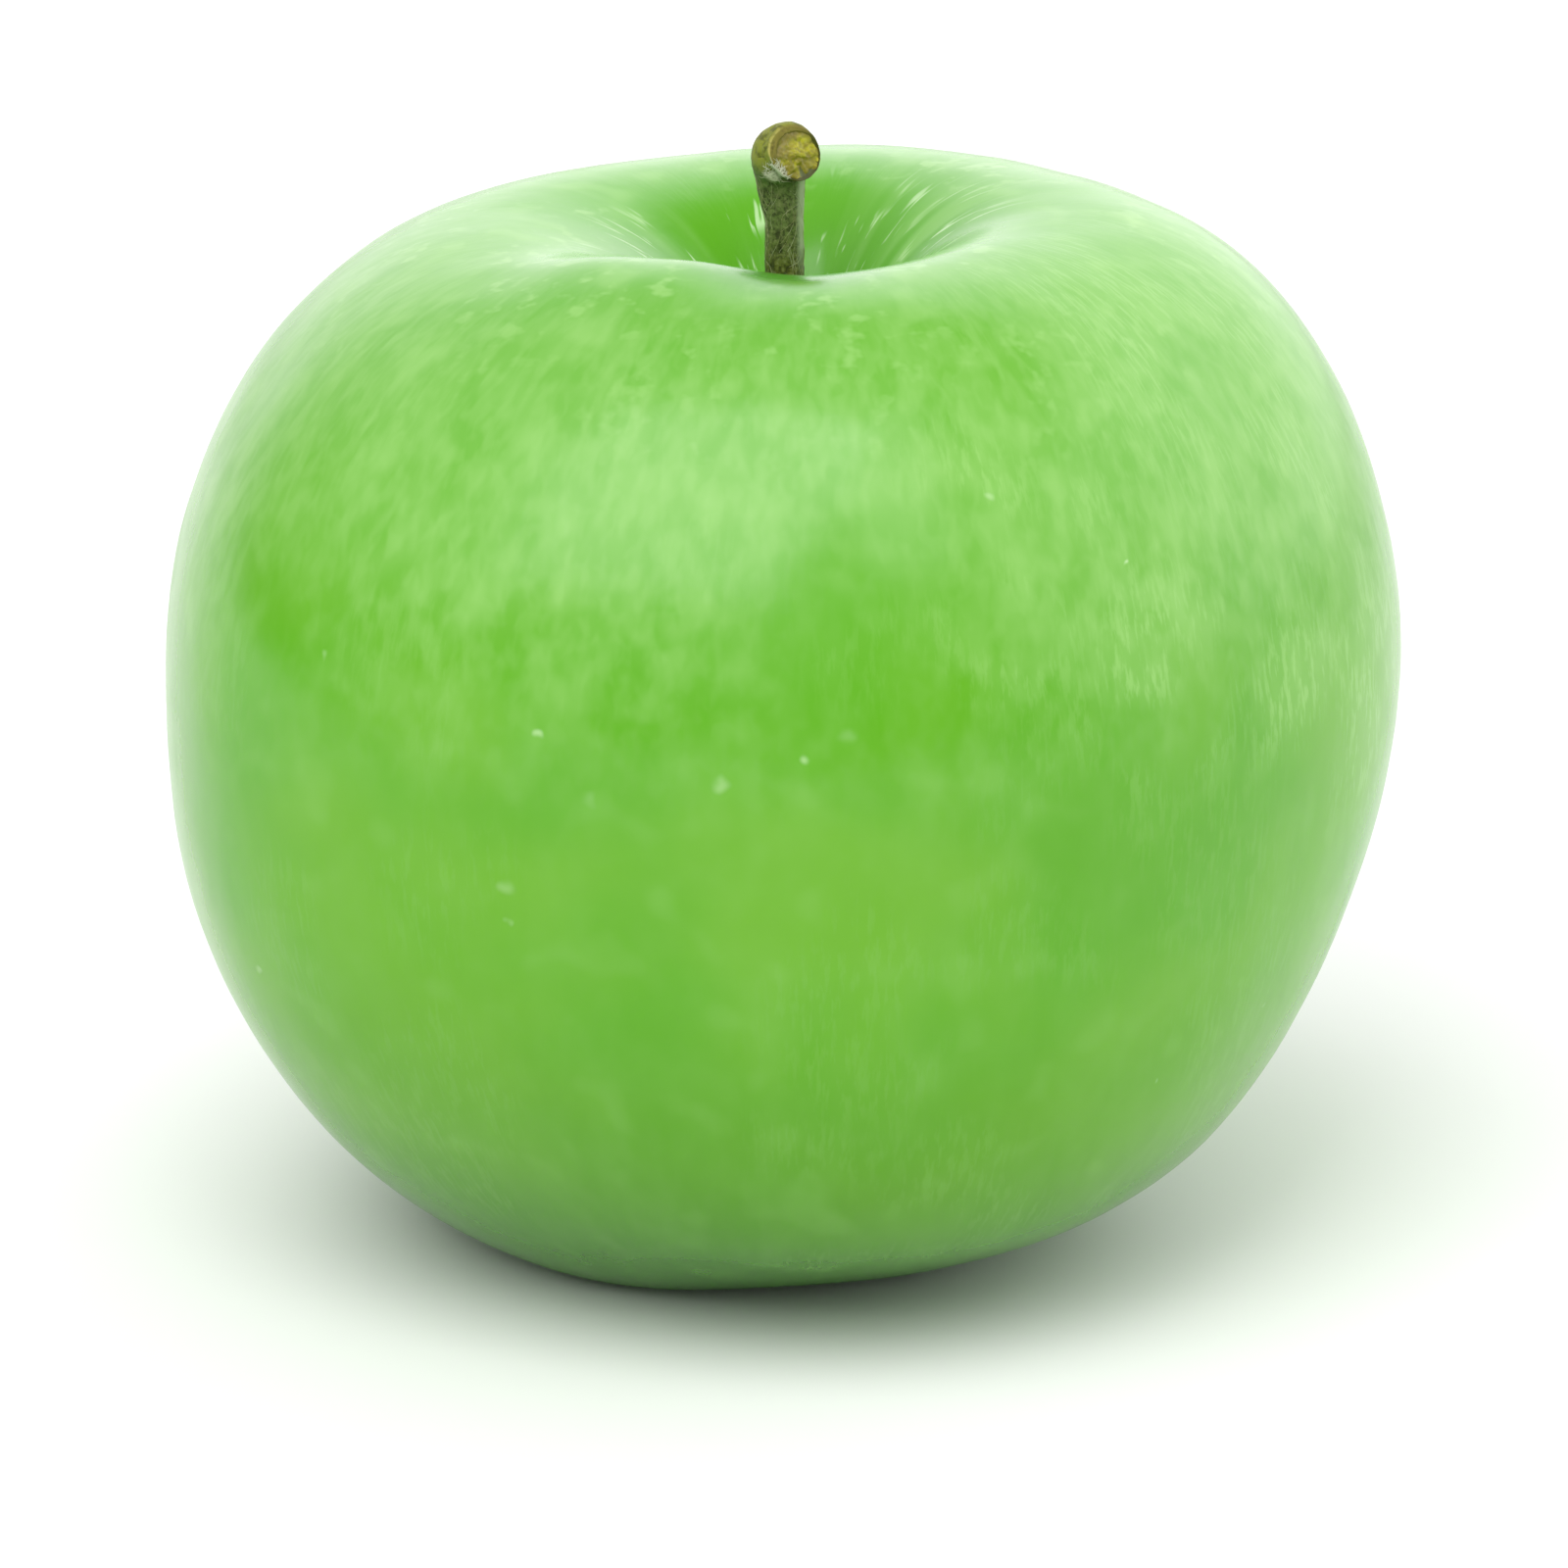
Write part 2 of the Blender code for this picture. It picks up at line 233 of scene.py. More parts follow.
# %% [markdown]
# The lip of the hollow isn't level: in front, to the left of the stem, it stands about a millimetre
# higher. Proportional editing draws the skin round one picked spot up with it, softly, as a hand
# would do it.

# %% Lift the lip beside the stem
LIP_SPOT = Vector((-8.0, -13.0, 66.0)) * MM
LIP_PICK = 2.5 * MM
LIP_LIFT = 1.10 * MM
LIP_DRAWN = 8.5 * MM

edit(skin)
lip_points = pick_verts(skin, lambda place: (place - LIP_SPOT).length < LIP_PICK)
bpy.ops.transform.translate(
    value=UP * LIP_LIFT,
    use_proportional_edit=True,
    proportional_edit_falloff="SMOOTH",
    proportional_size=LIP_DRAWN,
)
stop_editing()
print(lip_points, "points of the lip lifted")

# %% [markdown]
# A grown skin is never as even as a turned one. After the subdivision, a Displace modifier with a
# soft cloud pattern lifts and sinks it by about a tenth of a millimetre. Its strength fades out near
# the table through a vertex group, so the five feet stay flat and the apple still stands.

# %% Round the skin and make it a little uneven
SKIN_LEVELS = 2
SWELL_SIZE = 13.0 * MM
SWELL_LIFT = 0.34 * MM
FEET_FREE = (1.5 * MM, 9.0 * MM)


def rounded(piece, levels):
    """Adds a Subdivision Surface and applies it."""
    smooth = piece.modifiers.new("round", "SUBSURF")
    smooth.levels = levels
    smooth.render_levels = levels
    apply_all(piece)


def roughened(piece, name, size, lift, group=""):
    """Lifts and sinks the surface with a cloud pattern of the given size."""
    pattern = bpy.data.textures.new(name, "CLOUDS")
    pattern.noise_scale = size
    pattern.noise_depth = 2
    uneven = piece.modifiers.new(name, "DISPLACE")
    uneven.texture = pattern
    uneven.texture_coords = "LOCAL"
    uneven.strength = lift
    uneven.mid_level = 0.5
    uneven.vertex_group = group
    apply_all(piece)


rounded(skin, SKIN_LEVELS)
free = skin.vertex_groups.new(name="free of the table")
for vert in skin.data.vertices:
    share = (vert.co.z - FEET_FREE[0]) / (FEET_FREE[1] - FEET_FREE[0])
    free.add([vert.index], min(max(share, 0.0), 1.0), "REPLACE")
roughened(skin, "soft_swells", SWELL_SIZE, SWELL_LIFT, free.name)
skin.vertex_groups.clear()
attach(skin, "root")
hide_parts("fruit")
tell(skin)

# %% [markdown]
# ## The stem
#
# An apple's stem is a woody stalk, thin where it leaves the fruit and thick at the knee where it was
# joined to the tree. This one was cut just past its knee. We draw one ring at the foot, extrude it
# upwards ring by ring and widen it as it goes, and then spin it round the bend a step at a time, so
# that every ring can be widened before the next one is made.

# %% The shaft of the stem
STEM_SIDES = 24
SHAFT_RINGS = 20
SHAFT_RADIUS = 1.27 * MM
NECK_RADIUS = 1.62 * MM
FOOT_FLARE = 0.16 * MM
KNEE_HEIGHT = 69.1 * MM
SHAFT_DRIFT = Vector((-0.7, 0.8, 0.0)) * MM


def pull_out(move):
    """In edit mode, extrudes what is selected and moves it."""
    bpy.ops.mesh.extrude_region_move(TRANSFORM_OT_translate={"value": move})


def resize_picked(obj, *factors):
    """In edit mode, scales the selected points about their own middle."""
    bpy.ops.transform.resize(value=factors, center_override=picked_middle(obj))


def smooth_share(low, high, value):
    """0 below low, 1 above high, and an even curve between them."""
    share = min(max((value - low) / (high - low), 0.0), 1.0)
    return share * share * (3 - 2 * share)


def shaft_radius(share):
    """The stem flares a little at its foot and swells only just under the knee."""
    flare = FOOT_FLARE * (1 - smooth_share(0.10, 0.30, share))
    return SHAFT_RADIUS + flare + (NECK_RADIUS - SHAFT_RADIUS) * smooth_share(0.86, 1.02, share)


def shaft_drift(share):
    """The stem leans a little all the way up, and steps aside under the knee."""
    return SHAFT_DRIFT * (0.60 * smooth_share(0.0, 0.65, share) + 0.40 * smooth_share(0.84, 1.0, share))


pick_none()
bpy.ops.mesh.primitive_circle_add(
    vertices=STEM_SIDES, radius=shaft_radius(0.0), fill_type="NGON", location=stem_foot
)
bark = added("stem_bark")
edit(bark)
shaft_step = (KNEE_HEIGHT - stem_foot.z) / SHAFT_RINGS
for ring in range(1, SHAFT_RINGS + 1):
    share = ring / SHAFT_RINGS
    before = (ring - 1) / SHAFT_RINGS
    lean = shaft_drift(share) - shaft_drift(before)
    pull_out(lean + UP * shaft_step)
    widen = shaft_radius(share) / shaft_radius(before)
    resize_picked(bark, widen, widen, 1.0)
knee = picked_middle(bark)
print("the knee starts at", in_mm(knee))

# %% [markdown]
# The knee turns the stalk through seventy-two degrees towards the front. Spin needs a centre and an
# axis: the centre lies beside the shaft, on the side that the stalk turns to, and the axis lies
# level across it. The knee bulges in its middle, as the old joint with the branch did.

# %% The knee
BEND_STEPS = 8
BEND_ANGLE = math.radians(72)
BEND_RADIUS = 2.25 * MM
KNEE_BULGE = 0.46 * MM
FACE_RADIUS = 1.80 * MM
FACES_TO = math.radians(-62)

outwards = Vector((math.cos(FACES_TO), math.sin(FACES_TO), 0.0))
bend_axis = outwards.cross(UP)
bend_centre = knee + outwards * BEND_RADIUS


def knee_radius(share):
    straight = NECK_RADIUS + (FACE_RADIUS - NECK_RADIUS) * share
    return straight + KNEE_BULGE * math.sin(math.pi * share)


for step in range(BEND_STEPS):
    bpy.ops.mesh.spin(
        steps=1, dupli=False, angle=BEND_ANGLE / BEND_STEPS, center=bend_centre, axis=bend_axis
    )
    widen = knee_radius((step + 1) / BEND_STEPS) / knee_radius(step / BEND_STEPS)
    resize_picked(bark, widen, widen, widen)
heading = outwards * math.sin(BEND_ANGLE) + UP * math.cos(BEND_ANGLE)
bend_end = picked_middle(bark)
print("the bend ends at", in_mm(bend_end))

# %% [markdown]
# The knife went through a little askew, so the bark stands up as a lip along the upper left of the
# cut and the wood inside sits lower and towards the lower right. The lip comes from a short stub that
# drops a little, so that the knee shows above the cut. Then the end face is drawn in, moved aside and
# pushed back into the stalk.

# %% The lip round the cut
STUB = 0.62 * MM
LIP_IN = 0.96
BAND_IN = 0.91
WOOD_ASIDE = 0.10 * MM
WOOD_DEPTH = 0.22 * MM
LIP_REACH = 0.24 * MM
FACE_DROP = 0.40 * MM
LIP_BACK = 0.16 * MM


def face_outwards():
    """In edit mode, turns every face outwards, shades it smooth and leaves edit mode."""
    bpy.ops.mesh.select_all(action="SELECT")
    bpy.ops.mesh.normals_make_consistent(inside=False)
    bpy.ops.mesh.faces_shade_smooth()
    stop_editing()


across = UP.cross(heading).normalized()
over = heading.cross(across).normalized()
lower_right = (across * 0.75 - over * 0.65).normalized()
pull_out(heading * STUB * 0.8 - over * FACE_DROP * 0.7)
pull_out(heading * STUB * 0.2 - over * FACE_DROP * 0.3)
resize_picked(bark, LIP_IN, LIP_IN, LIP_IN)
lip_middle = picked_middle(bark)
pull_out((lower_right - heading * 0.4) * WOOD_ASIDE)
resize_picked(bark, BAND_IN, BAND_IN, BAND_IN)
wood_middle = picked_middle(bark)
wood_radius = FACE_RADIUS * LIP_IN * BAND_IN
pull_out(-heading * WOOD_DEPTH)
face_outwards()
for vert in bark.data.vertices:
    from_lip = vert.co - lip_middle
    flat = from_lip - heading * from_lip.dot(heading)
    if from_lip.dot(heading) > -0.3 * MM and flat.length > wood_radius * 1.03:
        share = smooth_share(0.15, 1.0, -flat.normalized().dot(lower_right))
        vert.co += (-lower_right * LIP_REACH - heading * LIP_BACK) * share
print("the wood shows at", in_mm(wood_middle))

# %% [markdown]
# A Subdivision Surface would shrink the thin lip away, so the sharp edges round the cut are given a
# crease first. Then the bark is made uneven twice over: once in slow swells and once in fine grain.

# %% Round the bark
CREASE = 0.55

bpy.context.view_layer.update()
bm = bmesh.new()
bm.from_mesh(bark.data)
crease = bm.edges.layers.float.new("crease_edge")
for edge in bm.edges:
    middle = (edge.verts[0].co + edge.verts[1].co) / 2
    along = (edge.verts[1].co - edge.verts[0].co).normalized()
    if (middle - lip_middle).dot(heading) > -0.12 * MM and abs(along.dot(heading)) < 0.25:
        edge[crease] = CREASE
bm.to_mesh(bark.data)
bm.free()
rounded(bark, 2)
roughened(bark, "bark_swells", 1.9 * MM, 0.22 * MM)
roughened(bark, "bark_grain", 0.42 * MM, 0.07 * MM)
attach(bark, "root")
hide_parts("stem")
tell(bark)

# %% [markdown]
# The cut wood is a piece of its own, because it is wet, yellow and lumpy while the bark is dry. It is
# a disc laid on the end face. Insetting it several times gives rings of faces to work with, the
# middle is raised a little, and a fine cloud pattern breaks it into lumps.

# %% The cut wood
WOOD_RINGS = 5
WOOD_DOME = 0.16 * MM
WOOD_SINK = 0.14 * MM

pick_none()
facing = heading.to_track_quat("Z", "Y").to_euler()
bpy.ops.mesh.primitive_circle_add(
    vertices=STEM_SIDES,
    radius=wood_radius * 1.05,
    fill_type="NGON",
    location=wood_middle - heading * WOOD_SINK,
    rotation=facing,
)
wood = added("stem_wood")
edit(wood)
for ring in range(WOOD_RINGS):
    bpy.ops.mesh.inset(thickness=wood_radius / (WOOD_RINGS + 1))
    bpy.ops.transform.translate(value=heading * WOOD_DOME / WOOD_RINGS)
bpy.ops.mesh.poke()
bpy.ops.mesh.select_all(action="SELECT")
bpy.ops.mesh.subdivide(number_cuts=3)
bpy.ops.mesh.faces_shade_smooth()
stop_editing()
roughened(wood, "wood_lumps", 0.62 * MM, 0.42 * MM)
roughened(wood, "wood_chips", 0.20 * MM, 0.10 * MM)
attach(wood, "root")
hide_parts("stem")
tell(wood)

# %% [markdown]
# Fine dry fibres lie across the bark, and a tuft of grey fluff sits under the cut. Each is a curve of
# a few points with a round section. Every point is first laid on the bark's nearest point, so that no
# fibre floats or sinks in, and the fluff curls up a little between its ends.

# %% Fibres and fluff on the bark
FIBRE_COUNT = 190
FIBRE_POINTS = 8
FIBRE_RADIUS = 0.013 * MM
FLUFF_COUNT = 190
FLUFF_RADIUS = 0.021 * MM
FLUFF_POINTS = 5
FLUFF_STEP = 0.16 * MM
FLUFF_SPREAD = 0.38
FOLD_UP = 0.60 * MM
FOLD_ASIDE = 1.75 * MM

threads = random.Random(5)


def laid_on(piece, place, lift):
    """The nearest point of a piece to a place, lifted off its surface."""
    found, near, normal, face = piece.closest_point_on_mesh(place)
    return near + normal * lift


def add_fibres(name, paths, radius):
    """One mesh of thin round threads, one for each path."""
    curve = bpy.data.curves.new(name, "CURVE")
    curve.dimensions = "3D"
    curve.bevel_depth = radius
    curve.bevel_resolution = 1
    curve.use_fill_caps = True
    for path in paths:
        spline = curve.splines.new("POLY")
        spline.points.add(len(path) - 1)
        for index, place in enumerate(path):
            spline.points[index].co = (*place, 1.0)
            spline.points[index].radius = 1.0 - 0.75 * (index / (len(path) - 1)) ** 2
    fibres = new_piece(name, curve)
    bpy.ops.object.convert(target="MESH")
    bpy.ops.object.shade_smooth()
    return fibres


def fibre_path():
    """A thread that winds slantwise up or down the shaft, and wavers."""
    turn = threads.uniform(0.0, math.tau)
    height = threads.uniform(stem_foot.z + 3.5 * MM, KNEE_HEIGHT + 0.5 * MM)
    long = threads.uniform(0.8, 3.4) * MM
    slant = threads.uniform(-0.9, 0.9)
    bend = threads.uniform(-0.5, 0.5)
    path = []
    for index in range(FIBRE_POINTS):
        share = index / (FIBRE_POINTS - 1)
        angle = turn + slant * share + bend * math.sin(math.pi * share)
        rise = height + long * (share - 0.5)
        centre = stem_foot.lerp(knee, (rise - stem_foot.z) / (knee.z - stem_foot.z))
        beside = Vector((math.cos(angle), math.sin(angle), 0.0)) * NECK_RADIUS
        path.append(laid_on(bark, Vector((centre.x, centre.y, rise)) + beside, FIBRE_RADIUS * 0.6))
    return path


def fluff_path():
    """A short curl in the fold under the cut, towards its left."""
    fold = bend_centre + UP * FOLD_UP - across * FOLD_ASIDE
    scatter = Vector(threads.gauss(0.0, FLUFF_SPREAD) for axis in range(3)) * MM
    start = laid_on(bark, fold + scatter, 0.0)
    going = Vector(threads.uniform(-1, 1) for axis in range(3)).normalized() * FLUFF_STEP
    path = []
    for index in range(FLUFF_POINTS):
        lift = FLUFF_RADIUS * (1.0 + 2.5 * math.sin(math.pi * index / (FLUFF_POINTS - 1)))
        path.append(laid_on(bark, start + going * index, lift))
    return path


fibres = add_fibres("bark_fibres", [fibre_path() for index in range(FIBRE_COUNT)], FIBRE_RADIUS)
fluff = add_fibres("bark_fluff", [fluff_path() for index in range(FLUFF_COUNT)], FLUFF_RADIUS)
fibres = join_all([fibres, fluff], "bark_fibres")
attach(fibres, "root")
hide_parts("stem")
tell(fibres)

# %% [markdown]
# ## The dried calyx
#
# Under the fruit sit the remains of the flower: a small cup, five dried sepals that curl outwards,
# and a tuft of dried stamens. One sepal is modelled as a strip of rows, pulled out one after another
# along its curl. The other four are copies.

# %% One sepal
SEPAL_COUNT = 5
SEPAL_ROWS = 12
SEPAL_WIDE = 2.6 * MM
SEPAL_TIP = 0.35 * MM
CUP_RADIUS = 2.5 * MM
CUP_WALL = 0.8 * MM
CUP_HEIGHT = 3.0 * MM
CUP_MOUTH = Vector((calyx_root.x, calyx_root.y, sepals_high.z - CUP_HEIGHT))
FIRST_SEPAL = math.radians(34)
SEPAL_CURL = ((2.1, 1.4), (2.1, -1.4), (2.9, -3.2), (5.5, -3.3))


def on_curl(share):
    """A point of the sepal's curl at a share of its length: distance from the middle, and height."""
    rest = 1 - share
    weights = (rest ** 3, 3 * share * rest ** 2, 3 * share * share * rest, share ** 3)
    out = sum(weight * point[0] for weight, point in zip(weights, SEPAL_CURL))
    height = sum(weight * point[1] for weight, point in zip(weights, SEPAL_CURL))
    return Vector((out, 0.0, height)) * MM


def half_width(share):
    """A sepal keeps its width past its middle and then narrows to a tip."""
    return (SEPAL_TIP + (SEPAL_WIDE - SEPAL_TIP) * (1 - share ** 2.0)) / 2


def add_strip(name, start, width):
    """A narrow row of six faces, ready to be pulled out into a strip."""
    pick_none()
    bpy.ops.mesh.primitive_grid_add(x_subdivisions=1, y_subdivisions=6, size=1.0, location=start)
    strip = bpy.context.object
    strip.name = name
    strip.scale = (0.02 * MM, width, 1.0)
    bpy.ops.object.transform_apply(location=True, scale=True)
    return strip


first = on_curl(0.0)
sepal = add_strip("sepal_pattern", first, 2 * half_width(0.0))
edit(sepal)
pick_verts(sepal, lambda place: place.x > first.x)
for row in range(1, SEPAL_ROWS + 1):
    share = row / SEPAL_ROWS
    before = (row - 1) / SEPAL_ROWS
    step = on_curl(share) - on_curl(before)
    pull_out(step)
    narrow = half_width(share) / half_width(before)
    resize_picked(sepal, 1.0, narrow, 1.0)
stop_editing()
tell(sepal)

# %% [markdown]
# The strip is flat across. Lifting its two edges towards the fruit's axis dishes it, a few small
# random moves at its sides make it ragged, and Solidify gives it the thickness of a dry leaf.

# %% Dish the sepal and thicken it
SEPAL_DISH = 0.30
SEPAL_THICK = 0.34 * MM
RAGGED = 0.16 * MM

dry = random.Random(11)
for vert in sepal.data.vertices:
    side = abs(vert.co.y)
    vert.co.x -= SEPAL_DISH * side * side / (SEPAL_WIDE / 2)
    if side > 0.3 * MM and vert.co.z < 0:
        vert.co.y += dry.uniform(-RAGGED, RAGGED)
        vert.co.z += dry.uniform(-RAGGED, RAGGED) * 0.6
thicken = sepal.modifiers.new("leaf thickness", "SOLIDIFY")
thicken.thickness = SEPAL_THICK
thicken.offset = 0.0
apply_all(sepal)
edit(sepal)
face_outwards()
rounded(sepal, 2)
tell(sepal)

# %% [markdown]
# The cup that holds the sepals is a short tube with a closed top. A cylinder is the quickest start:
# its lower face is inset to make the wall and pushed up inside.

# %% The cup of the calyx
pick_none()
bpy.ops.mesh.primitive_cylinder_add(
    vertices=32, radius=CUP_RADIUS, depth=CUP_HEIGHT, location=UP * CUP_HEIGHT / 2
)
cup = added("calyx_cup")
edit(cup)
pick_verts(cup, lambda place: place.z < 0.1 * MM)
bpy.ops.mesh.inset(thickness=CUP_WALL * 0.5)
bpy.ops.transform.translate(value=UP * -0.12 * MM)
bpy.ops.mesh.inset(thickness=CUP_WALL * 0.5)
bpy.ops.transform.translate(value=UP * 0.2 * MM)
pull_out(UP * (CUP_HEIGHT - CUP_WALL))
face_outwards()
ease = cup.modifiers.new("soft edges", "BEVEL")
ease.width = 0.15 * MM
ease.segments = 3
apply_all(cup)
tell(cup)

# %% [markdown]
# Five sepals now stand round the cup. Each copy gets its own mesh, is turned to its place, and is
# made a little longer or shorter than the others, because no two sepals dry alike. Join makes one
# piece of them.

# %% Five sepals round the cup
sepals = [cup]
for index in range(SEPAL_COUNT):
    copy = new_piece(f"sepal_{index}", sepal.data.copy())
    turn = Matrix.Rotation(FIRST_SEPAL + math.tau * index / SEPAL_COUNT, 4, "Z")
    growth = (dry.uniform(0.93, 1.0), dry.uniform(0.88, 1.05), dry.uniform(0.9, 1.0))
    longer = Matrix.Diagonal((*growth, 1.0))
    copy.data.transform(Matrix.Translation(CUP_MOUTH) @ turn @ longer)
    sepals.append(copy)
cup.data.transform(Matrix.Translation(CUP_MOUTH))
bpy.data.objects.remove(sepal)
calyx = join_all(sepals, "calyx_sepals")
roughened(calyx, "dry_wrinkles", 0.7 * MM, 0.16 * MM)
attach(calyx, "root")
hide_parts("sepals")
tell(calyx)

# %% [markdown]
# A stamen is a bent thread with a withered anther on its end. The thread is a small ring pulled out
# six times, narrower at first and leaning a little further out each time, and the last rings are
# swollen into the anther.

# %% One stamen
STAMEN_COUNT = 12
STAMEN_LONG = 2.8 * MM
STAMEN_THICK = 0.21 * MM
STAMEN_RINGS = (0.6 * MM, 1.0 * MM)
STAMEN_SPLAYS = (math.radians(7), math.radians(16))
STAMEN_SHAPE = ((0.22, 0.92), (0.22, 0.88), (0.22, 0.9), (0.12, 1.55), (0.16, 1.2), (0.10, 0.55))

pick_none()
bpy.ops.mesh.primitive_circle_add(vertices=8, radius=STAMEN_THICK, fill_type="NGON")
stamen = added("stamen_pattern")
edit(stamen)
total = sum(length for length, widen in STAMEN_SHAPE)
for index, (length, widen) in enumerate(STAMEN_SHAPE):
    step = Vector((0.05 * MM * index, 0.0, -STAMEN_LONG * length / total))
    pull_out(step)
    resize_picked(stamen, widen, widen, 1.0)
face_outwards()
rounded(stamen, 1)
tell(stamen)

# %% [markdown]
# Twelve copies of the stamen stand in two rings on a low pad that closes the cup. The pad is a short
# cylinder whose lower face is inset three times and pushed down, so that it bulges.

# %% The pad and its tuft of stamens
PAD_RADIUS = 1.4 * MM
PAD_TOP = 1.9 * MM
PAD_FOOT = -0.5 * MM

pick_none()
bpy.ops.mesh.primitive_cylinder_add(
    vertices=24, radius=PAD_RADIUS, depth=PAD_TOP - PAD_FOOT, location=UP * (PAD_TOP + PAD_FOOT) / 2
)
pad = added("calyx_pad")
edit(pad)
pick_verts(pad, lambda place: place.z < 0)
for ring in range(3):
    bpy.ops.mesh.inset(thickness=PAD_RADIUS * 0.22)
    bpy.ops.transform.translate(value=UP * -0.1 * MM)
bpy.ops.mesh.faces_shade_smooth()
stop_editing()

tuft = [pad]
for index in range(STAMEN_COUNT):
    copy = new_piece(f"stamen_{index}", stamen.data.copy())
    ring = STAMEN_RINGS[index % 2]
    splay = STAMEN_SPLAYS[index % 2] + dry.uniform(-0.09, 0.09)
    turn = Matrix.Rotation(math.tau * index / STAMEN_COUNT + dry.uniform(-0.1, 0.1), 4, "Z")
    stand = Matrix.Translation((ring, 0.0, 0.0)) @ Matrix.Rotation(-splay, 4, "Y")
    longer = Matrix.Diagonal((1.0, 1.0, dry.uniform(0.86, 1.0), 1.0))
    copy.data.transform(Matrix.Translation(CUP_MOUTH) @ turn @ stand @ longer)
    tuft.append(copy)
pad.data.transform(Matrix.Translation(CUP_MOUTH))
bpy.data.objects.remove(stamen)
stamens = join_all(tuft, "stamen_tuft")
roughened(stamens, "dry_knots", 0.4 * MM, 0.06 * MM)
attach(stamens, "root")
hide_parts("stamens")
tell(stamens)

# %% [markdown]
# ## The finishes
#
# Every finish is worked out from nodes, on the piece's own coordinates, with no picture. Building a
# node tree in code is wordy, so a small recipe class adds one node at a time and joins its inputs.
# A number goes in as a number, and the output of another node goes in as a link.

# %% A recipe for a finish


class Recipe:
    """A new material or sky with its main shader, and short calls that add one node each."""

    def __init__(self, name, kind="materials", shader="Principled BSDF", place="Object"):
        self.owner = getattr(bpy.data, kind).new(name)
        self.owner.use_nodes = True
        self.tree = self.owner.node_tree
        self.shader = self.tree.nodes[shader]
        self.place = self.node("ShaderNodeTexCoord").outputs[place]

    def feed(self, socket, value):
        """Joins another node's output to a socket, or sets the socket to a plain value."""
        if isinstance(value, bpy.types.NodeSocket):
            self.tree.links.new(value, socket)
        else:
            socket.default_value = value

    def node(self, kind, inputs=(), **settings):
        """Adds a node, gives it its settings and feeds its inputs, each by name or by number."""
        made = self.tree.nodes.new(kind)
        for setting, value in settings.items():
            setattr(made, setting, value)
        for name, value in dict(inputs).items():
            self.feed(made.inputs[name], value)
        return made

    def sum(self, operation, *inputs):
        return self.node("ShaderNodeMath", enumerate(inputs), operation=operation).outputs[0]

    def vector(self, operation, output, *inputs):
        return self.node("ShaderNodeVectorMath", enumerate(inputs), operation=operation).outputs[output]

    def line(self, value, slope, start):
        """The value times the slope, plus the start."""
        return self.sum("MULTIPLY_ADD", value, slope, start)

    def step(self, value, low, high):
        """0 below low and 1 above high, or the other way round, with an even curve between them."""
        inputs = {"Value": value, "From Min": min(low, high), "From Max": max(low, high)}
        inputs["To Min"] = 0.0 if low < high else 1.0
        inputs["To Max"] = 1.0 - inputs["To Min"]
        return self.node("ShaderNodeMapRange", inputs, interpolation_type="SMOOTHSTEP").outputs["Result"]

    def times(self, *values):
        product = values[0]
        for value in values[1:]:
            product = self.sum("MULTIPLY", product, value)
        return product

    def noise(self, where, scale, detail=2.0, rough=0.5, twist=0.0, output="Fac"):
        inputs = {"Vector": where, "Scale": scale, "Detail": detail}
        inputs.update({"Roughness": rough, "Distortion": twist})
        return self.node("ShaderNodeTexNoise", inputs).outputs[output]

    def dots(self, where, scale, low, high, share):
        """Round dots: a share of the cells has one, solid inside low and gone outside high."""
        made = self.node("ShaderNodeTexVoronoi", {"Vector": where, "Scale": scale}, feature="F1")
        parts = self.node("ShaderNodeSeparateColor", {"Color": made.outputs["Color"]})
        size = self.line(parts.outputs["Green"], -0.5, 1.0)
        spot = self.step(self.sum("DIVIDE", made.outputs["Distance"], size), high, low)
        chosen = self.sum("LESS_THAN", parts.outputs["Red"], share)
        return self.times(spot, chosen, size)

    def shift(self, where, move):
        """The same coordinates, moved."""
        return self.vector("ADD", "Vector", where, move)

    def waved(self, where, scale, reach, detail=0.0):
        """The same coordinates pushed about by a noise, so that a round dot gets a rough outline."""
        push = self.shift(self.noise(where, scale, detail, output="Color"), (-0.5, -0.5, -0.5))
        return self.vector("MULTIPLY_ADD", "Vector", push, (reach, reach, reach), where)

    def along(self, where, direction):
        """How far a place lies along a direction."""
        return self.vector("DOT_PRODUCT", "Value", where, tuple(direction))

    def far(self, where, middle):
        """How far a place is from a middle."""
        return self.vector("DISTANCE", "Value", where, tuple(middle))

    def triple(self, *parts):
        return self.node("ShaderNodeCombineXYZ", enumerate(parts)).outputs["Vector"]

    def split(self, where):
        return list(self.node("ShaderNodeSeparateXYZ", {"Vector": where}).outputs)

    def blend(self, share, first, second):
        """A colour between two: first where the share is 0, second where it is 1."""
        inputs = {"Factor": share, "A": first, "B": second}
        return self.node("ShaderNodeMix", inputs, data_type="RGBA").outputs["Result"]

    def paint(self, colour, *shares):
        """Lays a colour over the recipe's own, as far as the product of the shares says."""
        self.colour = self.blend(self.times(*shares), self.colour, colour)

    def bump(self, height, depth, under=None):
        """Relief of the given depth, in metres, on top of another relief."""
        inputs = {"Strength": 1.0, "Distance": depth, "Height": height}
        if under is not None:
            inputs["Normal"] = under
        return self.node("ShaderNodeBump", inputs).outputs["Normal"]

    def finish(self, roughness, normal=None, **constants):
        """Joins the colour and the other worked-out parts to the shader and sets its plain numbers."""
        self.feed(self.shader.inputs["Base Color"], self.colour)
        self.feed(self.shader.inputs["Roughness"], roughness)
        if normal is not None:
            self.feed(self.shader.inputs["Normal"], normal)
        for socket, value in constants.items():
            self.shader.inputs[socket.replace("_", " ")].default_value = value
        print("finish", self.owner.name, "has", len(self.tree.nodes), "nodes")
        return self.owner


